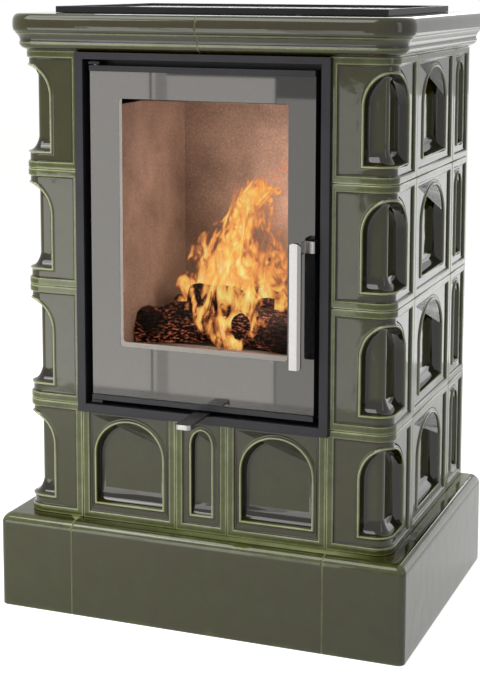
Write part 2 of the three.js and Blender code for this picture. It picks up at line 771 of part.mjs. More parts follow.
function handle(door) {
  const armZ = BAR_TOP - ARM_HEIGHT;
  const elbowX = DOOR_HALF + DOOR_GAP_SIDE * 0.3;
  const legX = BAR_X + BAR_WIDTH * 0.35;
  const barBack = -BAR_REACH + BAR_DEPTH;
  const chamfer = 1.5;
  const line = [
    [SPINDLE_X + SPINDLE_RADIUS + TOUCH, SPINDLE_Y],
    [elbowX - chamfer, SPINDLE_Y],
    [elbowX, SPINDLE_Y - chamfer],
    [elbowX, -ARM_TURN + chamfer],
    [elbowX - chamfer, -ARM_TURN],
    [legX + chamfer, -ARM_TURN],
    [legX, -ARM_TURN - chamfer],
    [legX, barBack + TOUCH],
  ];
  add(door, 'handle_arm', plate(bentStrip(line, ARM_SHEET), armZ, BAR_TOP), STAINLESS());

  const x0 = BAR_X - BAR_WIDTH / 2;
  const x1 = BAR_X + BAR_WIDTH / 2;
  const y0 = -BAR_REACH;
  const bevel = 2.5;
  const section = new THREE.Shape();
  section.moveTo(x0, barBack).lineTo(x0, y0 + bevel).lineTo(x0 + bevel, y0);
  section.lineTo(x1 - 2 * bevel, y0).lineTo(x1, y0 + 2 * bevel).lineTo(x1, barBack).closePath();
  const front = new THREE.Shape();
  const radius = BAR_WIDTH / 2;
  const barBottom = BAR_TOP - BAR_LENGTH;
  const endRound = 4;
  front.moveTo(x0 + endRound, barBottom).lineTo(x1 - endRound, barBottom);
  front.absarc(x1 - endRound, barBottom + endRound, endRound, -Math.PI / 2, 0, false);
  front.absellipse(BAR_X, BAR_TOP - radius * 0.7, radius, radius * 0.7, 0, Math.PI, false, 0);
  front.absarc(x0 + endRound, barBottom + endRound, endRound, Math.PI, Math.PI * 1.5, false);
  const length = plate(section, barBottom - 1, BAR_TOP + 1);
  const bar = common(length, upright(front, y0 - 1, barBack + 1));
  add(door, 'handle_bar', bar, STAINLESS());

  const middle = BAR_TOP - ARM_HEIGHT / 2;
  const shaft = rod(SPINDLE_RADIUS, NOTCH_HEIGHT + 36);
  shaft.translate(SPINDLE_X, SPINDLE_Y, middle);
  const camTip = SPINDLE_Y + CAM_REACH;
  const cam = new THREE.Shape();
  cam.moveTo(SPINDLE_X - 2, SPINDLE_Y).lineTo(SPINDLE_X + 2, SPINDLE_Y);
  cam.lineTo(SPINDLE_X + 9, camTip - 4).lineTo(SPINDLE_X + 7, camTip).lineTo(SPINDLE_X + 3, camTip);
  cam.closePath();
  const spindle = join(shaft, plate(cam, armZ - CAM_HEIGHT - 1, armZ - 1));
  add(door, 'latch_spindle', spindle, STAINLESS());
}

// The bracket on the firebox flange that the cam turns in beside.
function latchKeeper(body) {
  const middle = BAR_TOP - ARM_HEIGHT - 1 - CAM_HEIGHT / 2;
  const foot = 2;
  const x1 = SPINDLE_X + 11 + foot;
  const y1 = FLANGE_Y - TOUCH;
  const outline = new THREE.Shape();
  outline.moveTo(SPINDLE_X + 3, y1).lineTo(x1, y1).lineTo(x1, HINGE_Y + RUNNING * 10);
  outline.lineTo(x1 - foot, HINGE_Y + RUNNING * 10).lineTo(x1 - foot, y1 - foot);
  outline.lineTo(SPINDLE_X + 3, y1 - foot).closePath();
  const bracket = plate(outline, middle - KEEPER_HEIGHT / 2, middle + KEEPER_HEIGHT / 2);
  add(body, 'latch_keeper', bracket, STAINLESS());
}

// ---- air control ----

function airControl(body) {
  const tipRound = 9;
  const x0 = LEVER_X - LEVER_WIDTH / 2;
  const x1 = LEVER_X + LEVER_WIDTH / 2;
  const plateFront = FRAME_COLLAR + 38;
  const holeFront = AIR_HOLE_Y - AIR_HOLE_LENGTH / 2;
  const holeBack = AIR_HOLE_Y + AIR_HOLE_LENGTH / 2;
  const outline = new THREE.Shape();
  outline.moveTo(x0 + tipRound, -LEVER_REACH).lineTo(x1 - tipRound, -LEVER_REACH);
  outline.quadraticCurveTo(x1, -LEVER_REACH, x1, -LEVER_REACH + tipRound);
  outline.lineTo(x1, plateFront).lineTo(SLIDE_HALF, plateFront);
  outline.lineTo(SLIDE_HALF, holeBack + AIR_HOLE_LENGTH).lineTo(-SLIDE_HALF, holeBack + AIR_HOLE_LENGTH);
  outline.lineTo(-SLIDE_HALF, plateFront).lineTo(x0, plateFront).lineTo(x0, -LEVER_REACH + tipRound);
  outline.quadraticCurveTo(x0, -LEVER_REACH, x0 + tipRound, -LEVER_REACH);
  const holeHalf = AIR_HOLE_WIDTH / 2;
  outline.holes.push(rectangle(-holeHalf, holeHalf, holeFront, holeBack));
  const blade = plate(outline, LEVER_Z, LEVER_Z + LEVER_SHEET);
  const lipOutline = new THREE.Shape();
  const lipSheet = 3;
  lipOutline.moveTo(x0 + tipRound, -LEVER_REACH).lineTo(x1 - tipRound, -LEVER_REACH);
  lipOutline.quadraticCurveTo(x1, -LEVER_REACH, x1, -LEVER_REACH + tipRound);
  lipOutline.lineTo(x1 - lipSheet, -LEVER_REACH + tipRound);
  lipOutline.quadraticCurveTo(
    x1 - lipSheet,
    -LEVER_REACH + lipSheet,
    x1 - tipRound,
    -LEVER_REACH + lipSheet,
  );
  lipOutline.lineTo(x0 + tipRound, -LEVER_REACH + lipSheet);
  lipOutline.quadraticCurveTo(
    x0 + lipSheet,
    -LEVER_REACH + lipSheet,
    x0 + lipSheet,
    -LEVER_REACH + tipRound,
  );
  lipOutline.lineTo(x0, -LEVER_REACH + tipRound);
  lipOutline.quadraticCurveTo(x0, -LEVER_REACH, x0 + tipRound, -LEVER_REACH);
  const lip = plate(lipOutline, LEVER_Z - LEVER_LIP, LEVER_Z + LEVER_SHEET / 2);
  add(body, 'air_control', join(blade, lip), STAINLESS());
}

// ---- firebox ----

function airHole(z0, z1) {
  const half = AIR_HOLE_WIDTH / 2;
  const length = AIR_HOLE_LENGTH / 2;
  return box(-half, half, AIR_HOLE_Y - length, AIR_HOLE_Y + length, z0, z1);
}

function fireboxShell(body) {
  const wall = SHEET;
  const flangeBack = FLANGE_Y + wall + 0.7;
  const flange = box(-FLANGE_HALF, FLANGE_HALF, FLANGE_Y, flangeBack, DOOR_BOTTOM, FLANGE_TOP);
  const lugHalf = 11;
  const lugFront = HINGE_Y - PIN_RADIUS - 2.5;
  const lug = (z) => box(HINGE_X - lugHalf, HINGE_X + lugHalf, lugFront, flangeBack, z, z + LUG);
  const lowLugZ = DOOR_BOTTOM - DOOR_LUG_GAP - LUG;
  const tab = box(HINGE_X - lugHalf, HINGE_X + lugHalf, FLANGE_Y, flangeBack, lowLugZ, MOUTH_BOTTOM - 10);
  const outer = box(-SHELL_HALF, SHELL_HALF, flangeBack - 1, SHELL_REAR, SHELL_BOTTOM, SHELL_TOP);
  const hood = box(-HOOD_HALF, HOOD_HALF, HOOD_FRONT, SHELL_REAR, SHELL_TOP - 1, HOOD_TOP);
  const inHalf = SHELL_HALF - wall;
  const inner = box(-inHalf, inHalf, flangeBack, SHELL_REAR - wall, SHELL_BOTTOM + wall, SHELL_TOP - wall);
  const hoodIn = box(
    -HOOD_HALF + wall,
    HOOD_HALF - wall,
    HOOD_FRONT + wall,
    SHELL_REAR - wall,
    SHELL_TOP - wall - 2,
    HOOD_TOP - wall,
  );
  const mouth = box(-MOUTH_HALF, MOUTH_HALF, FLANGE_Y - 1, flangeBack + 1, MOUTH_BOTTOM, MOUTH_TOP);
  const flue = rod(FLUE_RADIUS - FLUE_WALL, wall * 4, CURVE_STEPS * 2).rotateX(Math.PI / 2);
  flue.translate(0, SHELL_REAR, FLUE_Z);
  const lowBore = rod(PIN_RADIUS + RUNNING, LUG * 3).translate(HINGE_X, HINGE_Y, lowLugZ);
  const highBore = rod(PIN_RADIUS + RUNNING, LUG * 3);
  highBore.translate(HINGE_X, HINGE_Y, DOOR_TOP + DOOR_LUG_GAP + LUG);
  const body1 = cut(
    join(flange, lug(lowLugZ), tab, lug(DOOR_TOP + DOOR_LUG_GAP), outer, hood),
    inner,
    hoodIn,
    mouth,
    flue,
    lowBore,
    highBore,
    airHole(SHELL_BOTTOM - 1, SHELL_BOTTOM + wall + 1),
  );
  const shelf = box(-inHalf - 1, inHalf + 1, PAN_FRONT, SHELL_REAR - 1, SHELF_Z, SHELF_Z + 3);
  const ledgeTop = HEARTH_Z - LINING - TOUCH;
  const ledge = (sign) => {
    const x = [sign * (inHalf + 1), sign * (inHalf - 18)].sort((a, b) => a - b);
    return box(x[0], x[1], flangeBack - 1, SHELL_REAR - 1, ledgeTop - 3, ledgeTop);
  };
  const shell = join(body1, shelf, ledge(1), ledge(-1));
  add(body, 'firebox_shell', shell, BLACK_STEEL());
}

function hearth(body) {
  const inHalf = SHELL_HALF - SHEET - TOUCH;
  const rear = SHELL_REAR - SHEET - TOUCH;
  const bottom = HEARTH_Z - LINING;
  const rest = 9; // ledge that the grate lies on
  const recess = box(
    -GRATE_HALF - TOUCH,
    GRATE_HALF + TOUCH,
    GRATE_FRONT - TOUCH,
    GRATE_FRONT + GRATE_LENGTH + TOUCH,
    HEARTH_Z - GRATE_DEPTH - TOUCH,
    HEARTH_Z + 1,
  );
  const drop = box(
    -GRATE_HALF + rest,
    GRATE_HALF - rest,
    GRATE_FRONT + rest,
    GRATE_FRONT + GRATE_LENGTH - rest,
    bottom - 1,
    HEARTH_Z,
  );
  const floor = cut(box(-inHalf, inHalf, HEARTH_FRONT, rear, bottom, HEARTH_Z), recess, drop);
  add(body, 'hearth_floor', floor, VERMICULITE());

  const grateRear = GRATE_FRONT + GRATE_LENGTH;
  const grateFloor = HEARTH_Z - GRATE_DEPTH;
  const slab = box(-GRATE_HALF, GRATE_HALF, GRATE_FRONT, grateRear, grateFloor, HEARTH_Z);
  const rim = 16;
  const pitch = (2 * (GRATE_HALF - rim)) / GRATE_SLOTS;
  const slots = Array.from({ length: GRATE_SLOTS }, (_, k) => {
    const x = -GRATE_HALF + rim + pitch * (k + 0.5);
    const half = pitch / 4;
    const [y0, y1] = [GRATE_FRONT + rim, grateRear - rim];
    return box(x - half, x + half, y0, y1, grateFloor - 1, HEARTH_Z + 1);
  });
  add(body, 'grate', cut(slab, ...slots), CAST_IRON());

  const panHalf = 130;
  const panRear = 310;
  const panBottom = SHELF_Z + 3 + TOUCH;
  const panTop = bottom - 5;
  const sheet = 3;
  const pan = cut(
    box(-panHalf, panHalf, PAN_FRONT, panRear, panBottom, panTop),
    box(
      -panHalf + sheet,
      panHalf - sheet,
      PAN_FRONT + sheet,
      panRear - sheet,
      panBottom + sheet,
      panTop + 1,
    ),
  );
  add(body, 'ash_pan', pan, ZINC_SHEET());
}

function linings(body) {
  const inHalf = SHELL_HALF - SHEET - TOUCH;
  const rear = SHELL_REAR - SHEET - TOUCH;
  const floor = HEARTH_Z + TOUCH;
  const sideRear = rear - LINING - TOUCH;
  for (const [name, sign] of [
    ['lining_right', 1],
    ['lining_left', -1],
  ]) {
    const x = [sign * inHalf, sign * (inHalf - LINING)].sort((a, b) => a - b);
    const slab = upright(rectangle(x[0], x[1], floor, LINING_TOP), HEARTH_FRONT, sideRear, 1);
    add(body, name, slab, VERMICULITE());
  }
  const jets = 5;
  const jetRadius = 6;
  const jetZ = floor + 130;
  const backOutline = rectangle(-inHalf, inHalf, floor, LINING_TOP);
  for (let k = 0; k < jets; k += 1) {
    const x = (k - (jets - 1) / 2) * ((inHalf * 1.4) / jets);
    backOutline.holes.push(circle(x, jetZ, jetRadius));
  }
  add(body, 'lining_back', upright(backOutline, rear - LINING, rear), VERMICULITE());
  const top = LINING_TOP + TOUCH;
  const baffle = box(-inHalf + 1, inHalf - 1, BAFFLE_FRONT, rear - 1, top, top + BAFFLE_DEPTH);
  add(body, 'baffle', baffle, VERMICULITE());
}

// ---- frame, ducts and back ----

function baseFrame(body) {
  const bar = POST;
  const x1 = SHELL_HALF - POST_INSET;
  const x0 = x1 - bar;
  const frontY = POST_FRONT;
  const rearY = SHELL_REAR - POST_INSET - bar;
  const top = SHELL_BOTTOM - TOUCH;
  const parts = [];
  for (const sign of [1, -1]) {
    const x = sign > 0 ? [x0, x1] : [-x1, -x0];
    parts.push(box(x[0], x[1], frontY, frontY + bar, 0, top));
    parts.push(box(x[0], x[1], rearY, rearY + bar, 0, top));
    parts.push(box(x[0], x[1], frontY + 1, rearY + bar - 1, top - bar, top));
    parts.push(box(x[0], x[1], frontY + 1, rearY + bar - 1, RAIL_Z, RAIL_Z + bar));
  }
  parts.push(box(-x0 - 1, x0 + 1, frontY, frontY + bar, RAIL_Z, RAIL_Z + bar));
  parts.push(box(-x0 - 1, x0 + 1, rearY, rearY + bar, RAIL_Z, RAIL_Z + bar));
  const crossTop = LEVER_Z - 2;
  parts.push(box(-x0 - 1, x0 + 1, frontY, frontY + bar, crossTop - bar, crossTop));
  add(body, 'base_frame', join(...parts), BLACK_STEEL());
}

function airDuct(body) {
  const half = 68;
  const front = 120;
  const rear = 300;
  const top = LEVER_Z - TOUCH;
  const bottom = AIR_Z - AIR_RADIUS - 6;
  const sheet = 3;
  const runner = (x0, x1) => box(x0, x1, front, rear, top - 1, SHELL_BOTTOM - TOUCH);
  const inside = half - SLIDE_HALF - TOUCH;
  const shell = cut(
    join(
      box(-half, half, front, rear, bottom, top),
      runner(-half, -half + inside),
      runner(half - inside, half),
    ),
    box(-half + sheet, half - sheet, front + sheet, rear - sheet, bottom + sheet, top - sheet),
    airHole(top - sheet - 1, top + 1),
  );
  const end = REAR_REACH - 4;
  const length = end - rear + sheet;
  const lay = (geometry) => geometry.translate(0, rear - sheet + length / 2, AIR_Z);
  const outer = lay(rod(AIR_RADIUS, length, CURVE_STEPS * 2).rotateX(Math.PI / 2));
  const bore = rod(AIR_RADIUS - 2, length + 8, CURVE_STEPS * 2).rotateX(Math.PI / 2);
  const duct = cut(join(shell, outer), lay(bore));
  add(body, 'air_duct', duct, ZINC_SHEET());
}

function flueSpigot(body) {
  const length = REAR_REACH - SHELL_REAR - TOUCH;
  const mesh = add(body, 'flue_spigot', pipe(FLUE_RADIUS, FLUE_WALL, 3, 4, length), BLACK_STEEL());
  mesh.position.set(0, SHELL_REAR + TOUCH, FLUE_Z);
}

function backPanel(body) {
  const tileIn = HALF_WIDTH - TILE_DEPTH - TOUCH;
  const ledgeIn = HALF_WIDTH - PLINTH_LEDGE - TOUCH;
  const wallIn = HALF_WIDTH + PLINTH_OVERHANG - PLINTH_WALL - TOUCH;
  const ledgeUnder = PLINTH_HEIGHT - 25 - TOUCH;
  const ledgeOver = PLINTH_HEIGHT + TOUCH;
  const foot = 12;
  const top = CORNICE_TOP;
  const outline = new THREE.Shape();
  const right = [
    [wallIn, foot],
    [wallIn, ledgeUnder],
    [ledgeIn, ledgeUnder],
    [ledgeIn, ledgeOver],
    [tileIn, ledgeOver],
    [tileIn, top],
  ];
  outline.moveTo(-wallIn, foot);
  right.forEach(([x, z]) => outline.lineTo(x, z));
  right.slice(1).reverse().forEach(([x, z]) => outline.lineTo(-x, z));
  outline.closePath();
  const sheet = 2;
  const hole = (radius, z) => {
    const drill = rod(radius, sheet * 4, CURVE_STEPS * 2).rotateX(Math.PI / 2);
    return drill.translate(0, PANEL_Y, z);
  };
  const openings = [hole(FLUE_RADIUS + 3, FLUE_Z), hole(AIR_RADIUS + 3, AIR_Z)];
  for (let row = 1; row <= VENT_ROWS; row += 1) {
    for (let k = 0; k < VENT_COLUMNS; k += 1) {
      const x = (k - (VENT_COLUMNS - 1) / 2) * VENT_PITCH;
      const z = VENT_BOTTOM + row * VENT_RISE;
      const [x0, x1] = [x - VENT_LENGTH / 2, x + VENT_LENGTH / 2];
      openings.push(box(x0, x1, PANEL_Y - 1, PANEL_Y + sheet + 1, z, z + VENT_HEIGHT));
    }
  }
  const panel = upright(outline, PANEL_Y, PANEL_Y + sheet);
  const fold = box(-tileIn, tileIn, TOP_REAR - 12, PANEL_Y + 1, top - sheet, top);
  add(body, 'back_panel', cut(join(panel, fold), ...openings), BLACK_STEEL());
}

// ---- top ----

function topFrame(body) {
  const z0 = CORNICE_TOP + TOUCH;
  const z1 = z0 + TOP_RISE - TOUCH;
  const ring = (inset) => [-TOP_HALF + inset, TOP_HALF - inset, TOP_FRONT + inset, TOP_REAR - inset];
  const wall = plate(ringOutline(ring(0), ring(TOP_WALL)), z0, z1);
  const lip = plate(ringOutline(ring(1), ring(TOP_LIP)), z0, z0 + GRILLE_SHEET);
  add(body, 'top_frame', join(wall, lip), BLACK_STEEL());
}

// One leaf of the pierced ornament: a comma-shaped opening, curled to one side.
function leaf(x, y, length, turn) {
  const width = length * 0.34;
  const outline = new THREE.Shape();
  outline.moveTo(0, 0);
  outline.quadraticCurveTo(length * 0.55, width * 1.25, length, 0);
  outline.quadraticCurveTo(length * 0.6, width * 0.15, length * 0.3, -width * 0.35);
  outline.quadraticCurveTo(length * 0.1, -width * 0.45, 0, 0);
  const steps = 3;
  return plate(outline, -1, GRILLE_SHEET + 1, 0, steps).rotateZ(turn).translate(x, y, 0);
}

function topGrille(body) {
  const clear = TOP_WALL + TOUCH;
  const x = TOP_HALF - clear;
  const y0 = TOP_FRONT + clear;
  const y1 = TOP_REAR - clear;
  const cellX = (2 * (x - GRILLE_BORDER)) / GRILLE_COLUMNS;
  const cellY = (y1 - y0 - 2 * GRILLE_BORDER) / GRILLE_ROWS;
  const length = Math.min(cellX, cellY) * 0.44;
  const root = length * 0.12;
  const leaves = [];
  for (let row = 0; row < GRILLE_ROWS; row += 1) {
    for (let column = 0; column < GRILLE_COLUMNS; column += 1) {
      const cx = -x + GRILLE_BORDER + cellX * (column + 0.5);
      const cy = y0 + GRILLE_BORDER + cellY * (row + 0.5);
      const start = Math.PI / 4 + ((row + column) % 2) * (Math.PI / 2);
      for (const turn of [start, start + Math.PI]) {
        leaves.push(leaf(cx + root * Math.cos(turn), cy + root * Math.sin(turn), length, turn));
      }
    }
  }
  const pierced = cut(box(-x, x, y0, y1, 0, GRILLE_SHEET), ...leaves);
  const mesh = add(body, 'top_grille', pierced, BLACK_STEEL());
  mesh.position.z = CORNICE_TOP + TOUCH + GRILLE_SHEET + TOUCH;
}

// ---- assembly ----

function add(parent, name, geometry, material) {
  const mesh = new THREE.Mesh(geometry, material);
  mesh.name = name;
  parent.add(mesh);
  return mesh;
}

const stove = new THREE.Group();
const body = new THREE.Group();
body.position.y = FACE_Y;
stove.add(body);

plinth(body);
tiles(body);
cornice(body);
surround(body);
doorFrame(body);
doorSkin(body);
doorSeal(body);
hingePins(body);
handle(body);
latchKeeper(body);
airControl(body);
fireboxShell(body);
hearth(body);
linings(body);
baseFrame(body);
airDuct(body);
flueSpigot(body);
backPanel(body);
topFrame(body);
topGrille(body);

export default stove;
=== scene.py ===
import math
import random

import bpy
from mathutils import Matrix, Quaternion, Vector, noise


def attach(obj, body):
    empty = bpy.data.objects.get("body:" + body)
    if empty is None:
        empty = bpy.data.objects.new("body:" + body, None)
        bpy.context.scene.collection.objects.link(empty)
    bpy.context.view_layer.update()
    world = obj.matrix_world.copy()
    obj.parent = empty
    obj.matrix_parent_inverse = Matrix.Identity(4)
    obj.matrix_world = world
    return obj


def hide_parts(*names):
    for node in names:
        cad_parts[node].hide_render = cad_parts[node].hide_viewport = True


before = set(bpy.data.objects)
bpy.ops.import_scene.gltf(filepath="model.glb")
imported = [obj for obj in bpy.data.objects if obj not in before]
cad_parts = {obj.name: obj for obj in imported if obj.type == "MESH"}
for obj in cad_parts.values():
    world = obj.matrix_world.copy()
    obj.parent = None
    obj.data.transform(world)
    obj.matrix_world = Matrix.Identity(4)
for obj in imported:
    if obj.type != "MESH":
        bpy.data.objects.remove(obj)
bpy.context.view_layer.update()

# ---- Steel base frame ----
# Square steel bar welded into a stand that carries the firebox through the plinth. It is
# sprayed with the same heat-resistant paint as the firebox and never seen from the front.


def linear(code):
    """An sRGB hex colour as the linear values that a shader expects."""
    parts = [int(code[k : k + 2], 16) / 255 for k in (1, 3, 5)]
    return [c / 12.92 if c <= 0.04045 else ((c + 0.055) / 1.055) ** 2.4 for c in parts] + [1.0]


def put(tree, kind, settings=(), links=()):
    """Adds a shader node with its settings, by socket or property name, and its incoming links."""
    made = tree.nodes.new("ShaderNode" + kind)
    for key, value in dict(settings).items():
        if isinstance(key, int) or key in made.inputs:
            made.inputs[key].default_value = value
        else:
            setattr(made, key, value)
    for key, source in dict(links).items():
        tree.links.new(source, made.inputs[key])
    return made


def ramp(tree, factor, stops):
    """A colour ramp through (position, hex) stops."""
    made = put(tree, "ValToRGB", links={"Fac": factor})
    elements = made.color_ramp.elements
    while len(elements) < len(stops):
        elements.new(0.5)
    for element, (position, code) in zip(elements, stops):
        element.position = position
        element.color = linear(code)
    return made.outputs["Color"]


def grain(tree, size, detail=3, stretch=(1, 1, 1), **more):
    """Noise whose features are about size metres across, in the object's own space."""
    place = put(tree, "TexCoord").outputs["Object"]
    if stretch != (1, 1, 1):
        place = put(tree, "Mapping", {"Scale": stretch}, {"Vector": place}).outputs["Vector"]
    made = put(tree, "TexNoise", {"Scale": 1 / size, "Detail": detail, **more}, {"Vector": place})
    return made.outputs["Fac"]


def bump(tree, height, distance, under=None):
    """A bumped normal from a height map, on top of the bump under it if there is one."""
    links = {"Height": height}
    if under is not None:
        links["Normal"] = under
    made = put(tree, "Bump", {"Distance": distance}, links)
    return made.outputs["Normal"]


def blank(name):
    """A material with an empty node tree."""
    made = bpy.data.materials.new(name)
    made.use_nodes = True
    made.node_tree.nodes.clear()
    return made, made.node_tree


def material(name, settings, links=None):
    """A material with one Principled shader. links(tree) returns the sockets that vary."""
    made, tree = blank(name)
    shader = put(tree, "BsdfPrincipled", settings, links(tree) if links else ())
    put(tree, "OutputMaterial", links={"Surface": shader.outputs["BSDF"]})
    return made


def paint_texture(tree):
    fine = grain(tree, 0.0012, 2)
    return {
        "Base Color": ramp(tree, grain(tree, 0.05), [(0.3, "#201f23"), (0.7, "#29282d")]),
        "Normal": bump(tree, fine, 0.00006),
    }


# Steel sheet and bar: sprayed with satin heat-resistant paint that dries slightly grained.
painted_steel = material(
    "steel_sprayed_heat_resistant",
    {"Roughness": 0.42, "Specular IOR Level": 0.28},
    paint_texture,
)


def dress(name, made, edge=0.0004):
    """Gives a CAD piece its material, and breaks its sharp edges as finishing does."""
    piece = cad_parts[name]
    piece.data.materials.clear()
    piece.data.materials.append(made)
    if edge:
        weld = piece.modifiers.new("weld", "WELD")
        weld.merge_threshold = 0.00002
        flat = piece.modifiers.new("flat", "DECIMATE")
        flat.decimate_type = "DISSOLVE"
        flat.angle_limit = math.radians(0.5)
        soft = piece.modifiers.new("soft", "BEVEL")
        soft.width = edge
        soft.segments = 2
        soft.limit_method = "ANGLE"
        soft.angle_limit = math.radians(35)
        soft.harden_normals = True
    return piece


dress("base_frame", painted_steel, 0.0015)

# ---- Glazed plinth ----
# Three slip-cast ceramic runs: a long front piece between two corner pieces, bedded on the
# floor. Their top edge is a wide roll, and the glaze thins to a pale line at every joint.


def surface(name, points, faces, attribute=None):
    """A mesh object, smooth but for its sharp folds, with a glaze value at each point."""
    mesh = bpy.data.meshes.new(name)
    mesh.from_pydata(points, [], faces)
    mesh.validate()
    if attribute is not None:
        values = mesh.attributes.new("glaze", "FLOAT", "POINT")
        values.data.foreach_set("value", attribute)
    mesh.shade_smooth()
    mesh.set_sharp_from_angle(angle=math.radians(50))
    made = bpy.data.objects.new(name, mesh)
    bpy.context.collection.objects.link(made)
    weighted = made.modifiers.new("weighted", "WEIGHTED_NORMAL")
    weighted.keep_sharp = True
    return made


def glaze_texture(tree):
    thin = put(tree, "Attribute", {"attribute_name": "glaze"}).outputs["Fac"]
    cloud = grain(tree, 0.035, 4)
    speck = grain(tree, 0.006, 5)
    mixed = put(tree, "Math", {"operation": "MULTIPLY_ADD", 1: 0.22, 2: -0.11}, {0: cloud})
    mixed = put(tree, "Math", {"operation": "ADD"}, {0: mixed.outputs[0], 1: thin})
    dots = put(tree, "Math", {"operation": "MULTIPLY_ADD", 1: 0.1, 2: -0.05}, {0: speck})
    value = put(tree, "Math", {"operation": "ADD"}, {0: mixed.outputs[0], 1: dots.outputs[0]})
    colour = ramp(
        tree,
        value.outputs[0],
        [
            (0.0, "#0c0a02"),
            (0.2, "#221c03"),
            (0.40, "#383006"),
            (0.56, "#3c3f08"),
            (0.70, "#5e652c"),
            (0.86, "#8b9259"),
            (1.0, "#b2b78e"),
        ],
    )
    wave = bump(tree, grain(tree, 0.045, 1), 0.0004)
    orange_peel = bump(tree, grain(tree, 0.007, 2), 0.00003, under=wave)
    return {"Base Color": colour, "Normal": orange_peel}


# Fired lead-green glaze: poured over a pale body, so it is pale and thin on edges, dark where
# it pools in hollows, and glassy all over.
glaze = material(
    "ceramic_poured_green_glaze",
    {
        "Roughness": 0.05,
        "IOR": 1.5,
        "Specular IOR Level": 0.5,
    },
    glaze_texture,
)

HALF_WIDTH = 0.361
BODY_DEPTH = 0.530
FACE_Y = -0.226
# How the glaze lies, from 0 in a deep pool to 1 on an edge. On the cornice's roll a lower value is
# painted shade.
THIN, PLAIN = 1.0, 0.5


def end_rounding(reach):
    """Distances from a joint, with how far the face drops there."""
    return [(0.0, 0.0012), (0.0004, 0.0005), (0.0012, 0.0001), (reach, 0.0)]


def corner_run(x0, y1, out, radius, front, side):
    """Plan of a run round the right-hand corner, as (x, y, near a joint) points."""
    x = HALF_WIDTH + out
    points = []
    for along, drop in end_rounding(0.004):
        points.append((x0 + along, -out + drop, along < 0.001))
    steps = 18
    for k in range(steps + 1):
        turn = math.pi / 2 * k / steps
        px = x - radius + radius * math.sin(turn)
        py = radius - out - radius * math.cos(turn)
        points.append((px, py, False))
    for along, drop in reversed(end_rounding(0.004)):
        points.append((x - drop, y1 - along, along < 0.001))
    inner = HALF_WIDTH - side
    points.append((inner, y1, False))
    points.append((inner, front, False))
    points.append((x0, front, False))
    return points


def straight_run(x0, x1, out, front):
    points = [(x0 + a, -out + d, a < 0.001) for a, d in end_rounding(0.004)]
    points += [(x1 - a, -out + d, a < 0.001) for a, d in reversed(end_rounding(0.004))]
    return points + [(x1, front, False), (x0, front, False)]


def moulded(name, levels, mirror=False):
    """Joins plan rings, each (z, glaze, points), into one closed piece."""
    points, values, faces = [], [], []
    count = len(levels[0][2])
    flip = -1 if mirror else 1
    for z, value, ring in levels:
        for x, y, edge in ring:
            points.append((flip * x, y + FACE_Y, z))
            values.append(THIN if edge else value)
    for level in range(len(levels) - 1):
        low, high = level * count, (level + 1) * count
        for k in range(count):
            n = (k + 1) % count
            face = (low + k, low + n, high + n, high + k)
            faces.append(face[::-1] if mirror else face)
    bottom = tuple(range(count))
    top = tuple(range(len(points) - count, len(points)))
    faces.append(bottom if mirror else bottom[::-1])
    faces.append(top[::-1] if mirror else top)
    made = surface(name, points, faces, values)
    made.data.materials.append(glaze)
    return made


def place(piece, body, *nodes):
    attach(piece, body)
    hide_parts(*nodes)


PLINTH_HEIGHT = 0.180
PLINTH_OUT = 0.038
PLINTH_ROLL = 0.018
PLINTH_CORNER = 0.012
PLINTH_WALL = 0.030
PLINTH_LEDGE = 0.050
PLINTH_PAST_BODY = 0.002


def plinth_levels():
    """(z, overhang, depth inside, glaze) from the floor to the top of the roll."""
    wall, ledge = PLINTH_WALL - PLINTH_OUT, PLINTH_LEDGE
    rows = [(0.0, PLINTH_OUT - 0.002, wall, PLAIN)]
    rows += [(0.001, PLINTH_OUT - 0.0006, wall, 0.8), (0.0025, PLINTH_OUT, wall, 0.6)]
    rows += [(z, PLINTH_OUT, wall, PLAIN) for z in (0.012, 0.05, 0.09, 0.125, 0.155)]
    rows.append((0.155, PLINTH_OUT, ledge, PLAIN))
    steps = 12
    for k in range(steps + 1):
        turn = math.pi / 2 * k / steps
        z = PLINTH_HEIGHT - PLINTH_ROLL * (1 - math.sin(turn))
        out = PLINTH_OUT - PLINTH_ROLL * (1 - math.cos(turn))
        rows.append((z, out, ledge, PLAIN + 0.16 * math.sin(2 * turn)))
    return rows


JOINT_X = 0.248
HAIR = 0.0002
corner_rings = []
front_rings = []
for z, out, inside, value in plinth_levels():
    rear = BODY_DEPTH + PLINTH_PAST_BODY
    ring = corner_run(JOINT_X + HAIR, rear, out, PLINTH_CORNER, inside, inside)
    corner_rings.append((z, value, ring))
    front_rings.append((z, value, straight_run(-JOINT_X + HAIR, JOINT_X - HAIR, out, inside)))
place(moulded("plinth_run_right", corner_rings), "stove", "plinth_corner_right")
place(moulded("plinth_run_left", corner_rings, True), "stove", "plinth_corner_left")
place(moulded("plinth_run_front", front_rings), "stove", "plinth_front")

# ---- Relief tiles ----
# Pressed stove tiles, hollow at the back, each with an arched niche behind a raised rim. They
# stack in rows on the plinth, clipped together through their collars with hair-thin joints.

TILE = 0.2196
JOINT = 0.0004
CORNER_RADIUS = 0.034
CORNER_FRONT = 0.120
CORNER_SIDE = 0.140


def flat_path(length):
    return {"length": length, "middle": length / 2, "bends": [], "at": lambda s, d, z: (s, d, z)}


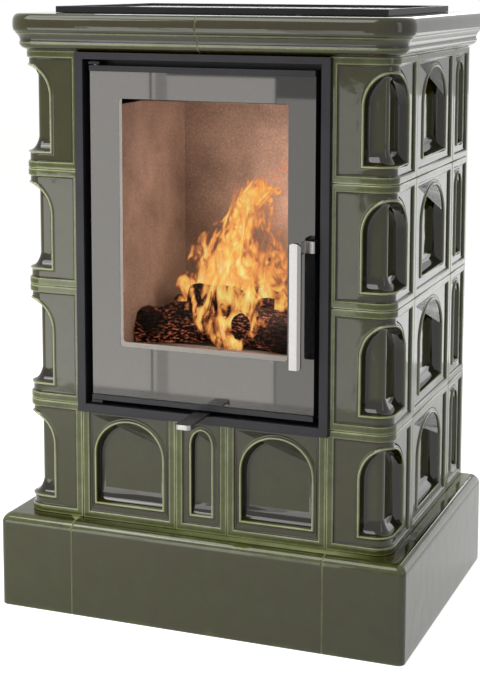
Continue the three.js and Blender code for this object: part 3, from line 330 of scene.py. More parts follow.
def corner_path(front, side):
    """The developed face of a corner tile: s runs along the front leaf and round to the side."""
    start = front - CORNER_RADIUS
    arc = CORNER_RADIUS * math.pi / 2
    end = start + arc
    steps = 12

    def at(s, d, z):
        if s <= start:
            return (min(s, front - d), d, z)
        if s >= end:
            return (front - d, max(CORNER_RADIUS + s - end, d), z)
        reach = max(CORNER_RADIUS - d, 0)
        if reach == 0:
            return (front - d, d, z)
        turn = (s - start) / CORNER_RADIUS
        return (start + reach * math.sin(turn), CORNER_RADIUS - reach * math.cos(turn), z)

    bends = [start + arc * k / steps for k in range(steps + 1)]
    length = end + side - CORNER_RADIUS
    return {"length": length, "middle": start + arc / 2, "bends": bends, "at": at}


def stations(path, s0, s1):
    return [s0] + [s for s in path["bends"] if s0 < s < s1] + [s1]


def frame_ring(path, inset, d):
    run = stations(path, inset, path["length"] - inset)
    return [[(s, path["at"](s, d, z)) for s in run] for z in (inset, TILE - inset)]


def arch_ring(path, niche, inset, d, foot):
    left, right = niche["left"] - inset, niche["right"] - inset
    rise, spring = niche["rise"] - inset, niche["crown"] - niche["rise"]
    middle, steps = path["middle"], niche["steps"]
    s0, s1 = middle - left, middle + right
    curve = []
    for k in range(1, steps):
        u = -math.cos(math.pi * k / steps)
        s = middle + u * (left if u < 0 else right)
        if all(abs(b - s) > 0.0012 for b in path["bends"]):
            curve.append(s)
    high = []
    for s in sorted(curve + stations(path, s0, s1)):
        u = (s - middle) / (left if s < middle else right)
        high.append((s, path["at"](s, d, spring + rise * math.sqrt(max(0.0, 1 - u * u)))))
    low = [(s, path["at"](s, d, foot)) for s in stations(path, s0, s1)]
    return [low, high]


# (inset from the tile's outline, depth, glaze) from the collar round to the panel
FRAME_SECTION = [
    (0.0, 0.045, PLAIN),
    (0.0, 0.0024, 0.6),
    (0.0002, 0.0013, 0.85),
    (0.00075, 0.00055, THIN),
    (0.0015, 0.00012, 0.95),
    (0.0027, 0.0, 0.72),
    (0.005, 0.0, 0.62),
    (0.0095, 0.0, 0.64),
    (0.0112, 0.00002, 0.74),
    (0.0122, 0.00025, 0.9),
    (0.0129, 0.0008, 0.92),
    (0.0136, 0.0018, 0.66),
    (0.0144, 0.0033, 0.2),
    (0.0152, 0.0039, 0.12),
    (0.0168, 0.004, 0.3),
    (0.0190, 0.004, 0.48),
]
# (inset from the niche's outline, depth, rise of its foot, glaze) from the panel inwards
NICHE_SECTION = [
    (-0.0085, 0.004, -0.0085, 0.5),
    (-0.0060, 0.004, -0.0060, 0.4),
    (-0.0042, 0.00395, -0.0042, 0.3),
    (-0.0032, 0.0034, -0.0032, 0.55),
    (-0.0021, 0.0022, -0.0021, 0.86),
    (-0.0011, 0.00125, -0.0011, THIN),
    (0.0, 0.001, 0.0, THIN),
    (0.0009, 0.00135, 0.0008, 0.98),
    (0.0017, 0.0026, 0.0014, 0.85),
    (0.0024, 0.0048, 0.0020, 0.55),
    (0.0031, 0.0078, 0.0031, 0.3),
    (0.0040, 0.0112, 0.0055, 0.2),
    (0.0052, 0.0144, 0.0095, 0.16),
    (0.0066, 0.0172, 0.0148, 0.16),
    (0.0083, 0.0193, 0.0200, 0.2),
    (0.0104, 0.0205, 0.0242, 0.32),
    (0.0130, 0.0210, 0.0270, 0.46),
    (0.0165, 0.0210, 0.0290, 0.5),
]


def tile(name, path, niche, put_at, mirror=False):
    """Builds one relief tile. put_at turns its (x, depth, z) into the stove's frame."""
    rings = [(frame_ring(path, 0.011, 0.035), PLAIN), (frame_ring(path, 0.011, 0.045), PLAIN)]
    rings += [(frame_ring(path, inset, d), value) for inset, d, value in FRAME_SECTION]
    narrow, shallow = niche["cove"] / 0.0095, niche["depth"] / 0.021
    for inset, d, foot, value in NICHE_SECTION:
        if inset > 0.002:
            inset, d = inset * narrow, d * shallow
        rings.append((arch_ring(path, niche, inset, d, niche["foot"] + foot), value))
    points, values, runs, faces = [], [], [], []
    for ring, value in rings:
        pair = []
        for run in ring:
            first = len(points)
            points.extend(put_at(*p) for _, p in run)
            values.extend([value] * len(run))
            pair.append([(s, first + k) for k, (s, _) in enumerate(run)])
        runs.append(pair)

    def face(*corners):
        seen = [c for k, c in enumerate(corners) if points[c] != points[corners[k - 1]]]
        if len(seen) > 2:
            faces.append(seen[::-1] if mirror else seen)

    def strip(near, far):
        i = j = 0
        while i < len(near) - 1 or j < len(far) - 1:
            more = i < len(near) - 1 and j < len(far) - 1
            if more and abs(near[i + 1][0] - far[j + 1][0]) < 1e-7:
                face(near[i][1], near[i + 1][1], far[j + 1][1], far[j][1])
                i, j = i + 1, j + 1
            elif j == len(far) - 1 or (i < len(near) - 1 and near[i + 1][0] <= far[j + 1][0]):
                face(near[i][1], near[i + 1][1], far[j][1])
                i += 1
            else:
                face(near[i][1], far[j + 1][1], far[j][1])
                j += 1

    strip(runs[0][1], runs[0][0])
    for (low, high), (low_in, high_in) in zip(runs, runs[1:]):
        same = len(low) == len(low_in) and len(high) == len(high_in)
        if same:
            for near, far in ((low, low_in), (high_in, high)):
                for k in range(len(near) - 1):
                    face(near[k][1], near[k + 1][1], far[k + 1][1], far[k][1])
        else:
            strip(low, low_in)
            strip(high_in, high)
        face(low[-1][1], high[-1][1], high_in[-1][1], low_in[-1][1])
        face(high[0][1], low[0][1], low_in[0][1], high_in[0][1])
    strip(runs[-1][0], runs[-1][1])
    made = surface(name, points, faces, values)
    made.data.materials.append(glaze)
    return made


def niche(left, right, rise, depth=0.021, cove=0.0095, steps=30):
    return {
        "left": left,
        "right": right,
        "rise": rise,
        "depth": depth,
        "cove": cove,
        "steps": steps,
        "foot": 0.031,
        "crown": 0.193,
    }


settling = random.Random(7)


def seated(origin, along, inward):
    """A tile's own coordinates set into the stove, each tile leaning a hair its own way."""
    lean = [settling.uniform(-0.0012, 0.0012) for _ in range(2)]

    def to_stove(s, d, z):
        deeper = d + 0.0002 + abs(lean[0]) * 0.1 + lean[0] * (s - 0.1) * 0.5 + lean[1] * (z - 0.11)
        depth = deeper if d < 0.044 else d
        x = origin[0] + along[0] * s + inward[0] * depth
        y = origin[1] + along[1] * s + inward[1] * depth
        return (x, y + FACE_Y, origin[2] + z)

    return to_stove


trim = CORNER_RADIUS * (1 - math.pi / 4)
corner_niche = niche(0.060 - trim, 0.090 - trim, 0.060)
slot = niche(0.0215, 0.0215, 0.030, 0.014, 0.0062, 20)
FRONT_FULL, FRONT_HALF, SIDE_FULL, SIDE_HALF = 0.190, 0.102, 0.264, 0.126
front_niche = niche(FRONT_FULL * 0.365, FRONT_FULL * 0.365, 0.066)
side_niche = niche(SIDE_FULL * 0.31, SIDE_FULL * 0.31, 0.066)
for row in range(4):
    z = PLINTH_HEIGHT + row * 0.220 + JOINT
    for hand, sign in (("right", 1), ("left", -1)):
        turned = sign < 0
        label = f"{hand}_{row + 1}"
        x = sign * (HALF_WIDTH - CORNER_FRONT + JOINT)
        piece = tile(
            f"glazed_corner_{label}",
            corner_path(CORNER_FRONT - JOINT, CORNER_SIDE - JOINT),
            corner_niche,
            lambda s, d, zz, x=x, sign=sign, z=z: (x + sign * s, d + FACE_Y, z + zz),
            turned,
        )
        place(piece, "stove", f"tile_corner_{label}")
        sides = (("full", SIDE_FULL, side_niche, CORNER_SIDE),)
        sides += (("half", SIDE_HALF, slot, CORNER_SIDE + SIDE_FULL),)
        for kind, width, shape, start in sides:
            length = width - JOINT
            y = start if sign > 0 else start + length
            to_stove = seated((sign * HALF_WIDTH, y, z), (0, sign), (-sign, 0))
            piece = tile(f"glazed_side_{hand}_{kind}_{row + 1}", flat_path(length), shape, to_stove)
            place(piece, "stove", f"tile_side_{hand}_{kind}_{row + 1}")
z = PLINTH_HEIGHT + JOINT
for name, x, width, shape in (
    ("left", -FRONT_HALF / 2 - FRONT_FULL, FRONT_FULL, front_niche),
    ("middle", -FRONT_HALF / 2, FRONT_HALF, slot),
    ("right", FRONT_HALF / 2, FRONT_FULL, front_niche),
):
    to_stove = seated((x + HAIR, 0, z), (1, 0), (0, 1))
    piece = tile(f"glazed_front_{name}", flat_path(width - JOINT), shape, to_stove)
    place(piece, "stove", f"tile_front_{name}")

# ---- Glazed cornice ----
# Two pressed halves that meet in the middle of the front and crown the tiles. The section
# climbs from an ovolo through a cavetto to a heavy roll.

CORNICE_Z = 1.0603
CORNICE_INTO_FRONT = 0.080
CORNICE_INTO_SIDE = 0.045
# (height, overhang, glaze) up the moulding; on the roll the glaze value is partly painted shade
CORNICE_SECTION = [
    (0.0, 0.0005, 0.3),
    (0.002, 0.002, 0.3),
    (0.0028, 0.0052, 0.4),
    (0.0045, 0.0084, 0.45),
    (0.0072, 0.0112, 0.48),
    (0.0105, 0.0132, 0.58),
    (0.0136, 0.0139, 0.85),
    (0.0148, 0.0136, 0.8),
    (0.0158, 0.0126, 0.3),
    (0.0172, 0.0122, 0.14),
    (0.0200, 0.0126, 0.25),
    (0.0235, 0.0138, 0.4),
    (0.0270, 0.0160, 0.45),
    (0.0300, 0.0188, 0.6),
    (0.0312, 0.0202, 0.82),
    (0.0322, 0.0208, 0.72),
    (0.0334, 0.0208, 0.2),
    (0.0342, 0.0216, 0.2),
    (0.0354, 0.0236, 0.55),
    # The roll's face and its top edge get values under PLAIN: painted shade for the dark surround
    # that the roll mirrors.
    (0.0385, 0.0252, 0.46),
    (0.0430, 0.0259, 0.44),
    (0.0480, 0.0260, 0.42),
    (0.0530, 0.0258, 0.42),
    (0.0575, 0.0251, 0.44),
    (0.0610, 0.0238, 0.48),
    (0.0640, 0.0218, 0.56),
    (0.0662, 0.0192, 0.56),
    (0.0673, 0.0165, PLAIN),
    (0.0677, 0.0130, 0.45),
]
half_rings = []
for height, out, value in CORNICE_SECTION:
    radius = CORNER_RADIUS + out
    ring = corner_run(HAIR, BODY_DEPTH, out, radius, CORNICE_INTO_FRONT, CORNICE_INTO_SIDE)
    half_rings.append((CORNICE_Z + height, value, ring))
place(moulded("cornice_run_right", half_rings), "stove", "cornice_right")
place(moulded("cornice_run_left", half_rings, True), "stove", "cornice_left")

# ---- Firebox and what lines it ----
# A welded steel box on the base frame, with a smoke hood at its back. Loose vermiculite
# boards line its sides, back and roof, and an iron grate lies in the hearth over the ash pan.

dress("firebox_shell", painted_steel, 0.0006)
dress("latch_keeper", painted_steel)


def board_texture(tree):
    flakes = grain(tree, 0.003, 6)
    soot = grain(tree, 0.12, 4)
    colour = ramp(tree, flakes, [(0.3, "#8c817a"), (0.7, "#aba098")])
    dark = ramp(tree, soot, [(0.35, "#ffffff"), (0.75, "#6e6a66")])
    mixed = put(tree, "Mix", {"data_type": "RGBA", "blend_type": "MULTIPLY", "Factor": 0.6})
    tree.links.new(colour, mixed.inputs["A"])
    tree.links.new(dark, mixed.inputs["B"])
    return {"Base Color": mixed.outputs["Result"], "Normal": bump(tree, flakes, 0.0004)}


# Vermiculite board: pressed flakes, matt, browned by soot.
vermiculite = material(
    "vermiculite_pressed_board",
    {"Roughness": 0.95, "Specular IOR Level": 0.1},
    board_texture,
)
for name in ("lining_left", "lining_right", "lining_back", "hearth_floor", "baffle"):
    dress(name, vermiculite, 0.0015)


def casting_texture(tree):
    sand = grain(tree, 0.0015, 4)
    colour = ramp(tree, grain(tree, 0.03), [(0.3, "#232323"), (0.7, "#34312e")])
    return {"Base Color": colour, "Normal": bump(tree, sand, 0.0002)}


# Cast iron: sand-cast and left raw.
cast_iron = material("cast_iron_sand_cast", {"Roughness": 0.7, "Metallic": 0.3}, casting_texture)
dress("grate", cast_iron, 0.001)


def spangle_texture(tree):
    cells = put(tree, "TexVoronoi", {"Scale": 1 / 0.012})
    tree.links.new(put(tree, "TexCoord").outputs["Object"], cells.inputs["Vector"])
    colour = ramp(tree, cells.outputs["Distance"], [(0.0, "#a7aaad"), (0.8, "#8b8e92")])
    return {"Base Color": colour}


# Galvanised sheet: hot-dipped, with a faint spangle.
galvanised = material(
    "sheet_hot_dip_galvanised",
    {"Roughness": 0.4, "Metallic": 0.9},
    spangle_texture,
)
dress("ash_pan", galvanised)

# ---- The fire ----
# Four split logs lie on the grate in a bed of embers, and flames stand over them. It is what
# the stove holds in the photograph, and it belongs to no CAD piece.


def ember_texture(tree):
    crack = grain(tree, 0.008, 6, stretch=(1, 1, 2.5))
    glow = put(
        tree,
        "MapRange",
        {"From Min": 0.52, "From Max": 0.66, "To Max": 1.0},
        {"Value": crack},
    )
    patches = put(
        tree,
        "MapRange",
        {"From Min": 0.42, "From Max": 0.6, "To Max": 1.0},
        {"Value": grain(tree, 0.07, 2)},
    )
    both = put(tree, "Math", {"operation": "MULTIPLY"}, {0: glow.outputs[0], 1: patches.outputs[0]})
    strength = put(tree, "Math", {"operation": "MULTIPLY", 1: 0.5}, {0: both.outputs[0]})
    return {
        "Base Color": ramp(tree, crack, [(0.35, "#100e0e"), (0.7, "#2f2523")]),
        "Emission Color": ramp(tree, crack, [(0.5, "#d8502c"), (0.7, "#ffa070")]),
        "Emission Strength": strength.outputs[0],
        "Normal": bump(tree, crack, 0.004),
    }


# Burning wood: charred bark that glows through its cracks.
charred = material(
    "wood_charred_glowing",
    {"Roughness": 0.9, "Specular IOR Level": 0.2},
    ember_texture,
)


def log(name, start, end, radius, seed):
    """A split log from start to end with knotty bark and sawn ends."""
    axis = Vector(end) - Vector(start)
    side = axis.cross(Vector((0, 0, 1))).normalized()
    over = side.cross(axis).normalized()
    points, faces = [], []
    around, along = 28, 24
    for i in range(along + 1):
        share = i / along
        pinch = 1 - 0.12 * abs(2 * share - 1) ** 6
        for k in range(around):
            turn = 2 * math.pi * k / around
            knot = noise.noise(Vector((math.cos(turn) * 2, math.sin(turn) * 2, share * 5 + seed)))
            bark = noise.noise(Vector((math.cos(turn) * 9, math.sin(turn) * 9, share * 14 + seed)))
            r = radius * pinch * (1 + 0.14 * knot + 0.06 * bark)
            at = Vector(start) + axis * share
            at = at + side * r * math.cos(turn) + over * r * math.sin(turn)
            points.append(tuple(at))
    for i in range(along):
        for k in range(around):
            n = (k + 1) % around
            a, b = i * around, (i + 1) * around
            faces.append((a + k, a + n, b + n, b + k))
    faces.append(tuple(range(around))[::-1])
    faces.append(tuple(range(along * around, (along + 1) * around)))
    made = surface(name, points, faces)
    made.data.materials.append(charred)
    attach(made, "stove")


log("log_back", (-0.150, 0.03, 0.535), (0.130, -0.01, 0.548), 0.040, 1.3)
log("log_front_left", (-0.185, -0.095, 0.520), (-0.035, -0.060, 0.548), 0.042, 4.1)
log("log_front_right", (0.005, -0.080, 0.552), (0.165, -0.095, 0.522), 0.038, 8.6)
log("log_top", (-0.095, -0.045, 0.580), (0.075, -0.030, 0.572), 0.030, 6.2)


def flame_texture(tree):
    """Heat at a point of a flame sheet: thick at its heart, torn into tongues by the draught."""
    body = put(tree, "Attribute", {"attribute_name": "heart"}).outputs["Fac"]
    place = put(tree, "TexCoord").outputs["Object"]
    rising = put(tree, "Mapping", {"Scale": (1, 1, 0.5)}, {"Vector": place}).outputs["Vector"]
    broad = put(
        tree,
        "TexNoise",
        {"Scale": 1 / 0.05, "Detail": 1.0, "Distortion": 1.3},
        {"Vector": rising},
    ).outputs["Fac"]
    wisps = put(
        tree,
        "TexNoise",
        {"Scale": 1 / 0.02, "Detail": 1.0, "Distortion": 2.2},
        {"Vector": rising},
    ).outputs["Fac"]
    torn = put(tree, "Math", {"operation": "MULTIPLY_ADD", 1: 2.4, 2: -1.47}, {0: broad})
    fine = put(tree, "Math", {"operation": "MULTIPLY_ADD", 1: 0.85, 2: -0.42}, {0: wisps})
    both = put(tree, "Math", {"operation": "ADD"}, {0: torn.outputs[0], 1: fine.outputs[0]})
    heat = put(tree, "Math", {"operation": "ADD"}, {0: both.outputs[0], 1: body}).outputs[0]
    colour = ramp(
        tree,
        heat,
        [
            (0.0, "#dd6a44"),
            (0.2, "#f28f55"),
            (0.42, "#fdb463"),
            (0.64, "#ffdb76"),
            (0.88, "#fff7ac"),
        ],
    )
    solid = put(
        tree,
        "MapRange",
        {"From Min": 0.02, "From Max": 0.5, "To Max": 0.86, "interpolation_type": "SMOOTHSTEP"},
        {"Value": heat},
    )
    return colour, solid.outputs[0]


def flame_material():
    """Flame: hot gas, brightest where it is thick, that fades out at its edges and tips."""
    made, tree = blank("flame_burning_gas")
    colour, solid = flame_texture(tree)
    shader = put(
        tree,
        "BsdfPrincipled",
        {
            "Base Color": (0, 0, 0, 1),
            "Specular IOR Level": 0.0,
            "Roughness": 1.0,
            "Emission Strength": 1.0,
        },
        {"Emission Color": colour, "Alpha": solid},
    )
    put(tree, "OutputMaterial", links={"Surface": shader.outputs["BSDF"]})
    return made


flame = flame_material()
# (height, middle, half width) of the fire's outline, seen from the front
FIRE_OUTLINE = [
    (0.462, 0.004, 0.020),
    (0.510, -0.002, 0.040),
    (0.550, -0.012, 0.118),
    (0.600, -0.010, 0.120),
    (0.640, -0.004, 0.108),
    (0.680, 0.006, 0.094),
    (0.715, 0.012, 0.066),
    (0.750, 0.018, 0.050),
    (0.785, 0.034, 0.056),
    (0.815, 0.060, 0.052),
    (0.840, 0.084, 0.030),
]


def outline_at(z):
    for (z0, m0, w0), (z1, m1, w1) in zip(FIRE_OUTLINE, FIRE_OUTLINE[1:]):
        if z <= z1:
            share = max(0.0, (z - z0) / (z1 - z0))
            return m0 + (m1 - m0) * share, w0 + (w1 - w0) * share
    return FIRE_OUTLINE[-1][1:]


def flame_sheet(name, y, shift, spread, seed):
    """A rippled upright sheet inside the fire's outline. Its material tears it into tongues."""
    across_steps, up_steps = 24, 40
    low, high = FIRE_OUTLINE[0][0], FIRE_OUTLINE[-1][0] + 0.02
    points, faces, hearts = [], [], []
    for i in range(up_steps + 1):
        z = low + (high - low) * i / up_steps
        middle, half = outline_at(z)
        fade = min(1, (high - z) / 0.06, 0.35 + (z - low) / 0.08)
        for k in range(across_steps + 1):
            u = 2 * k / across_steps - 1
            ripple = noise.noise(Vector((u * 2 + seed, z * 9, seed)))
            x = middle + shift + u * half * spread * 1.25
            points.append((x, y + 0.03 * ripple - 0.02 * (1 - u * u), z))
            rise = (z - low) / (high - low)
            hearts.append((1.04 - 0.55 * rise) * max(0, 1 - abs(u) ** 2.6) * fade - 0.1)
    row = across_steps + 1
    for i in range(up_steps):
        for k in range(across_steps):
            a = i * row + k
            faces.append((a, a + 1, a + row + 1, a + row))
    mesh = bpy.data.meshes.new(name)
    mesh.from_pydata(points, [], faces)
    mesh.attributes.new("heart", "FLOAT", "POINT").data.foreach_set("value", hearts)
    mesh.shade_smooth()
    made = bpy.data.objects.new(name, mesh)
    bpy.context.collection.objects.link(made)
    mesh.materials.append(flame)
    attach(made, "stove")


flame_sheet("flame_back", 0.015, -0.010, 1.0, 2.0)
flame_sheet("flame_middle", -0.035, 0.000, 0.95, 5.0)
flame_sheet("flame_front", -0.105, 0.016, 0.70, 9.0)

# ---- Surround frame ----
# A steel frame with a folded collar, screwed to the firebox flange. Its face covers the cut
# edges of the tiles round the door.

dress("surround_frame", painted_steel, 0.0005)

# ---- Door ----
# A milled steel frame behind a full-size sheet of ceramic glass, held by a thin bar at top
# and bottom, with a glass-fibre rope seal against the firebox. It hangs on two pins.

for name in ("door_frame", "door_strip_top", "door_strip_bottom"):
    dress(name, painted_steel)


ROPE_PITCH = 0.02


def rope_texture(tree):
    weave = put(
        tree,
        "TexWave",
        {"Scale": 1 / ROPE_PITCH, "Distortion": 2.0, "bands_direction": "DIAGONAL"},
    )
    tree.links.new(put(tree, "TexCoord").outputs["Object"], weave.inputs["Vector"])
    colour = ramp(tree, weave.outputs["Fac"], [(0.2, "#4f4c46"), (0.8, "#77736a")])
    return {"Base Color": colour, "Normal": bump(tree, weave.outputs["Fac"], 0.0008)}


# Glass-fibre rope: knitted, grey, glued into the door frame.
rope = material("rope_knitted_glass_fibre", {"Roughness": 0.95}, rope_texture)
dress("door_seal", rope, 0)


def clear_pane():
    """Ceramic glass: rolled clear, and coated so that it hardly mirrors the room."""
    made, tree = blank("glass_ceramic_rolled_clear")
    through = put(tree, "BsdfTransparent", {"Color": (0.96, 0.94, 0.91, 1)})
    mirror = put(tree, "BsdfGlossy", {"Color": (1, 1, 1, 1), "Roughness": 0.0})
    share = put(tree, "Fresnel", {"IOR": 1.03})
    mixed = put(tree, "MixShader", links={"Fac": share.outputs[0]})
    tree.links.new(through.outputs[0], mixed.inputs[1])
    tree.links.new(mirror.outputs[0], mixed.inputs[2])
    put(tree, "OutputMaterial", links={"Surface": mixed.outputs[0]})
    return made


pane = clear_pane()
dress("door_glass", pane, 0)


def print_texture(tree):
    return {"Base Color": ramp(tree, grain(tree, 0.002, 3), [(0.3, "#1d1e20"), (0.7, "#242528")])}


# Enamel border: screen-printed on the glass's inner face and fired, dense dark grey.
enamel = material(
    "enamel_screen_printed",
    {"Roughness": 0.03, "Specular IOR Level": 0.78},
    print_texture,
)

WINDOW = (-0.160, 0.167, 0.517, 0.976)
GLASS_BACK = FACE_Y
DOOR = (-0.2173, 0.2173, 0.4235, 1.0245)


CRISP = 0.0004


def sheet_ring(name, outer, inner, y0, y1, made, corner_cut):
    """A flat ring in the door's plane, between two rectangles of (x0, x1, z0, z1)."""

    def loop(x0, x1, z0, z1, cut):
        plan = []
        for x, z, dx, dz in ((x0, z0, 1, 1), (x1, z0, -1, 1), (x1, z1, -1, -1), (x0, z1, 1, -1)):
            first, second = (x, z + dz * cut), (x + dx * cut, z)
            plan += [first, second] if dx * dz > 0 else [second, first]
        return plan

    out, into = loop(*outer, CRISP), loop(*inner, corner_cut)
    points = [(x, y, z) for y in (y0, y1) for x, z in out + into]
    faces = []
    for k in range(8):
        n = (k + 1) % 8
        faces.append((k, n, 8 + n, 8 + k))
        faces.append((16 + k, 24 + k, 24 + n, 16 + n))
        faces.append((k, 16 + k, 16 + n, n))
        faces.append((8 + k, 8 + n, 24 + n, 24 + k))
    ring = surface(name, points, faces)
    ring.data.materials.append(made)
    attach(ring, "door")


STRIP = 0.006


def window_strip(name, made):
    """An L of pale painted highlight for the window opening's lit inner edge, down its left side
    and along its foot.
    """
    x0, x1, z0, z1 = WINDOW
    foot, cut = z0 + 0.0095, 0.004
    plan = [(x0, z0), (x1, z0), (x1, foot), (x0 + STRIP + cut, foot)]
    plan += [(x0 + STRIP, foot + cut), (x0 + STRIP, z1), (x0, z1)]
    count = len(plan)
    y0, y1 = GLASS_BACK + 0.0002, GLASS_BACK + 0.0007
    points = [(x, y0, z) for x, z in plan] + [(x, y1, z) for x, z in plan]
    faces = [tuple(range(count)), tuple(range(2 * count - 1, count - 1, -1))]
    faces += [(k, (k + 1) % count, count + (k + 1) % count, count + k) for k in range(count)]
    strip = surface(name, points, faces)
    strip.data.materials.append(made)
    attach(strip, "door")


# Painted highlight: a pale line for the lit inner edge of the window opening, along the two sides
# turned towards the camera.
painted_edge_highlight = material(
    "painted_highlight_window_edge",
    {"Base Color": linear("#a9a9ad"), "Roughness": 0.5, "Metallic": 0.2},
)
window_strip("painted_highlight_window_strip", painted_edge_highlight)
border_y = (GLASS_BACK - 0.0003, GLASS_BACK + 0.0001)
sheet_ring("glass_border_print", DOOR, WINDOW, *border_y, enamel, 0.004)

# ---- Handle ----
# A flat bar of brushed stainless steel on a bent strip that runs round the glass's edge to a
# spindle in the door's stile, whose cam turns in beside the keeper.


def brushed_texture(tree):
    lines = grain(tree, 0.0006, 4, stretch=(1, 1, 0.02))
    rough = put(tree, "MapRange", {"To Min": 0.2, "To Max": 0.34}, {"Value": lines})
    return {"Roughness": rough.outputs[0], "Normal": bump(tree, lines, 0.00002)}


# Stainless steel: ground and brushed along its length.
stainless = material(
    "steel_stainless_brushed",
    {"Base Color": linear("#959392"), "Metallic": 1.0},
    brushed_texture,
)
dress("handle_bar", stainless, 0.0006)
dress("handle_arm", stainless, 0.0004)
for name in ("latch_spindle", "hinge_pin_top", "hinge_pin_bottom"):
    dress(name, stainless, 0)

# ---- Air control ----
# A flat steel tongue that slides in and out under the door, with its tip bent down for the
# finger. Its inner end is a plate that covers the air port.

dress("air_control", stainless, 0.0004)

# ---- Back, ducts and spigots ----
# A folded sheet closes the back between the tiles. The flue spigot and the air spigot pass
# through it with room to spare.

dress("back_panel", painted_steel, 0.0003)
dress("flue_spigot", painted_steel, 0)
dress("air_duct", galvanised, 0)

# ---- Top grille ----
# A pierced steel sheet lies in a shallow frame on the cornice and lets the warm air out.

dress("top_frame", painted_steel, 0.0005)
dress("top_grille", painted_steel, 0)

# ---- Studio ----
# A plain pale floor, a white surround and large soft panels. Glaze, the glass's border and
# metal mirror the white surround that the camera sees, with the panels as brighter patches.


def background_rays(tree):
    """1 for the rays that show the background: seen straight, mirrored or through glass."""
    path = put(tree, "LightPath").outputs
    mirrored = put(
        tree,
        "Math",
        {"operation": "MAXIMUM"},
        {0: path["Is Camera Ray"], 1: path["Is Glossy Ray"]},
    )
    seen = put(
        tree,
        "Math",
        {"operation": "MAXIMUM"},
        {0: mirrored.outputs[0], 1: path["Is Transmission Ray"]},
    )
    return seen.outputs[0]


FLOOR_LIFT = 0.88


def floor_material():
    """Matt white paper, lifted so far towards white that the stove's shadow clips away."""
    made, tree = blank("paper_matt_white")
    speck = ramp(tree, grain(tree, 0.4, 3), [(0.3, "#e4e4e2"), (0.7, "#e8e8e6")])
    paper = put(tree, "BsdfDiffuse", links={"Color": speck})
    lift = put(tree, "Emission", {"Color": (1, 1, 1, 1), "Strength": FLOOR_LIFT})
    lifted = put(tree, "AddShader")
    tree.links.new(paper.outputs[0], lifted.inputs[0])
    tree.links.new(lift.outputs[0], lifted.inputs[1])
    mixed = put(tree, "MixShader", links={"Fac": background_rays(tree)})
    tree.links.new(paper.outputs[0], mixed.inputs[1])
    tree.links.new(lifted.outputs[0], mixed.inputs[2])
    put(tree, "OutputMaterial", links={"Surface": mixed.outputs[0]})
    return made


reach = 9.0
floor = surface(
    "studio_floor",
    [(-reach, -reach, 0), (reach, -reach, 0), (reach, reach, 0), (-reach, reach, 0)],
    [(0, 1, 2, 3)],
)
floor.data.materials.append(floor_material())

world = bpy.data.worlds.new("studio")
bpy.context.scene.world = world
world.use_nodes = True
sky = world.node_tree
sky.nodes.clear()
backdrop = put(sky, "Mix", {"data_type": "RGBA"}, {"Factor": background_rays(sky)})
backdrop.inputs["A"].default_value = linear("#6a6c68")
backdrop.inputs["B"].default_value = (1, 1, 1, 1)
shade = put(sky, "Background", {"Strength": 1.0}, {"Color": backdrop.outputs["Result"]})
put(sky, "OutputWorld", links={"Surface": shade.outputs[0]})


def panel(name, centre, size, aim, radiance, colour="#ffffff"):
    """A soft rectangular light of a given brightness, turned to face aim."""
    light = bpy.data.lights.new(name, "AREA")
    light.shape = "RECTANGLE"
    light.size, light.size_y = size
    light.energy = radiance * math.pi * size[0] * size[1]
    light.color = linear(colour)[:3]
    made = bpy.data.objects.new(name, light)
    made.location = centre
    made.rotation_mode = "QUATERNION"
    made.rotation_quaternion = (Vector(aim) - Vector(centre)).to_track_quat("-Z", "Y")
    made.visible_camera = False
    bpy.context.collection.objects.link(made)
    return made


WALL_Y = -1.75
for name, x0, x1, top, radiance in (
    ("panel_far_left", -1.60, -1.005, 0.62, 3.2),
    ("panel_wide_left", -1.00, -0.798, 0.93, 3.1),
    ("panel_sliver", -0.791, -0.779, 0.93, 3.2),
    ("panel_shaded", -0.778, -0.744, 0.93, 1.7),
    ("panel_left", -0.744, -0.418, 0.92, 2.9),
    ("panel_near", -0.413, -0.262, 0.865, 1.5),
    ("panel_edge", -0.262, -0.165, 0.90, 1.8),
):
    middle = (x0 + x1) / 2
    panel(name, (middle, WALL_Y, top / 2), (x1 - x0, top), (middle, 0, top / 2), radiance)
panel("panel_over", (-0.95, -1.15, 1.7), (0.8, 0.6), (-0.85, -1.1, 0), 5.0)
panel("panel_top", (-0.9, -1.3, 3.0), (1.8, 1.4), (0, 0, 0.8), 4.0)
panel("panel_right", (2.3, -0.9, 1.5), (0.5, 1.8), (0.36, 0, 0.7), 1.3)
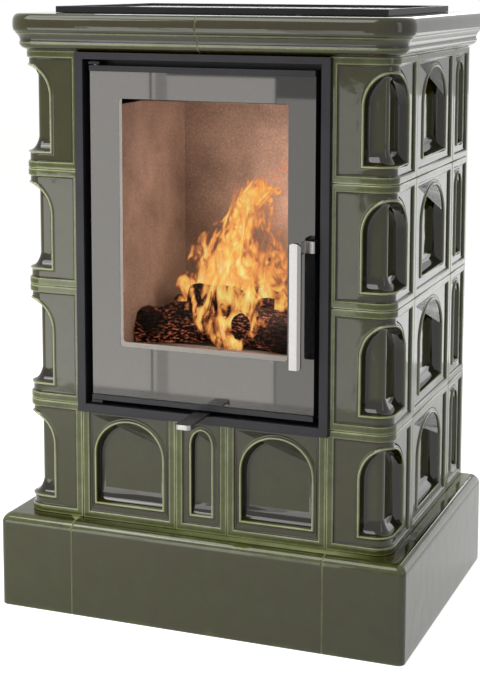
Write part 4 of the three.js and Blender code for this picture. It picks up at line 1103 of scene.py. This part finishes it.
panel("panel_back_right", (1.00, 1.7, 0.45), (0.9, 0.8), (0.6, 0.2, 0.5), 1.1)
panel("panel_back", (-0.6, 2.6, 2.0), (2.0, 1.6), (0, 0, 0.7), 3.0)

def glow(name, centre, power, colour, radius):
    light = bpy.data.lights.new(name, "POINT")
    light.energy = power
    light.color = linear(colour)[:3]
    light.shadow_soft_size = radius
    made = bpy.data.objects.new(name, light)
    made.location = centre
    made.visible_camera = made.visible_transmission = made.visible_glossy = False
    bpy.context.collection.objects.link(made)


glow("firelight_low", (0.10, -0.12, 0.68), 1.9, "#ffd6c6", 0.04)
glow("firelight_high", (0.06, -0.04, 0.80), 1.9, "#ffd6c6", 0.05)

# ---- Camera ----
# The photograph's viewpoint: to the right of the stove and a little above its top. The shift
# keeps the stove's upright edges nearly parallel, as the photograph's lens does.

target = Vector((0.10235, FACE_Y, 0.82188))
azimuth, elevation, roll = math.radians(20.931), math.radians(7.519), math.radians(0.160)
back = Vector(
    (
        math.sin(azimuth) * math.cos(elevation),
        -math.cos(azimuth) * math.cos(elevation),
        math.sin(elevation),
    )
)
PHOTO_WIDTH, PHOTO_HEIGHT = 480, 674
FOCAL_PIXELS = 1603.52
OPTICAL_CENTRE = (253.67, 190)
SENSOR = 36
DISTANCE = 2.83161
lens = bpy.data.cameras.new("camera")
lens.sensor_width = SENSOR
lens.lens = FOCAL_PIXELS / PHOTO_HEIGHT * SENSOR
lens.shift_x = (PHOTO_WIDTH / 2 - OPTICAL_CENTRE[0]) / PHOTO_HEIGHT
lens.shift_y = (OPTICAL_CENTRE[1] - PHOTO_HEIGHT / 2) / PHOTO_HEIGHT
lens.clip_end = 50
camera = bpy.data.objects.new("camera", lens)
camera.location = target + back * DISTANCE
turn = (-back).to_track_quat("-Z", "Y").to_matrix().to_4x4()
camera.rotation_mode = "QUATERNION"
camera.rotation_quaternion = turn.to_quaternion()
bpy.context.collection.objects.link(camera)
camera.rotation_quaternion.rotate(Quaternion(back, roll))
bpy.context.scene.camera = camera
bpy.context.scene.view_settings.view_transform = "Standard"
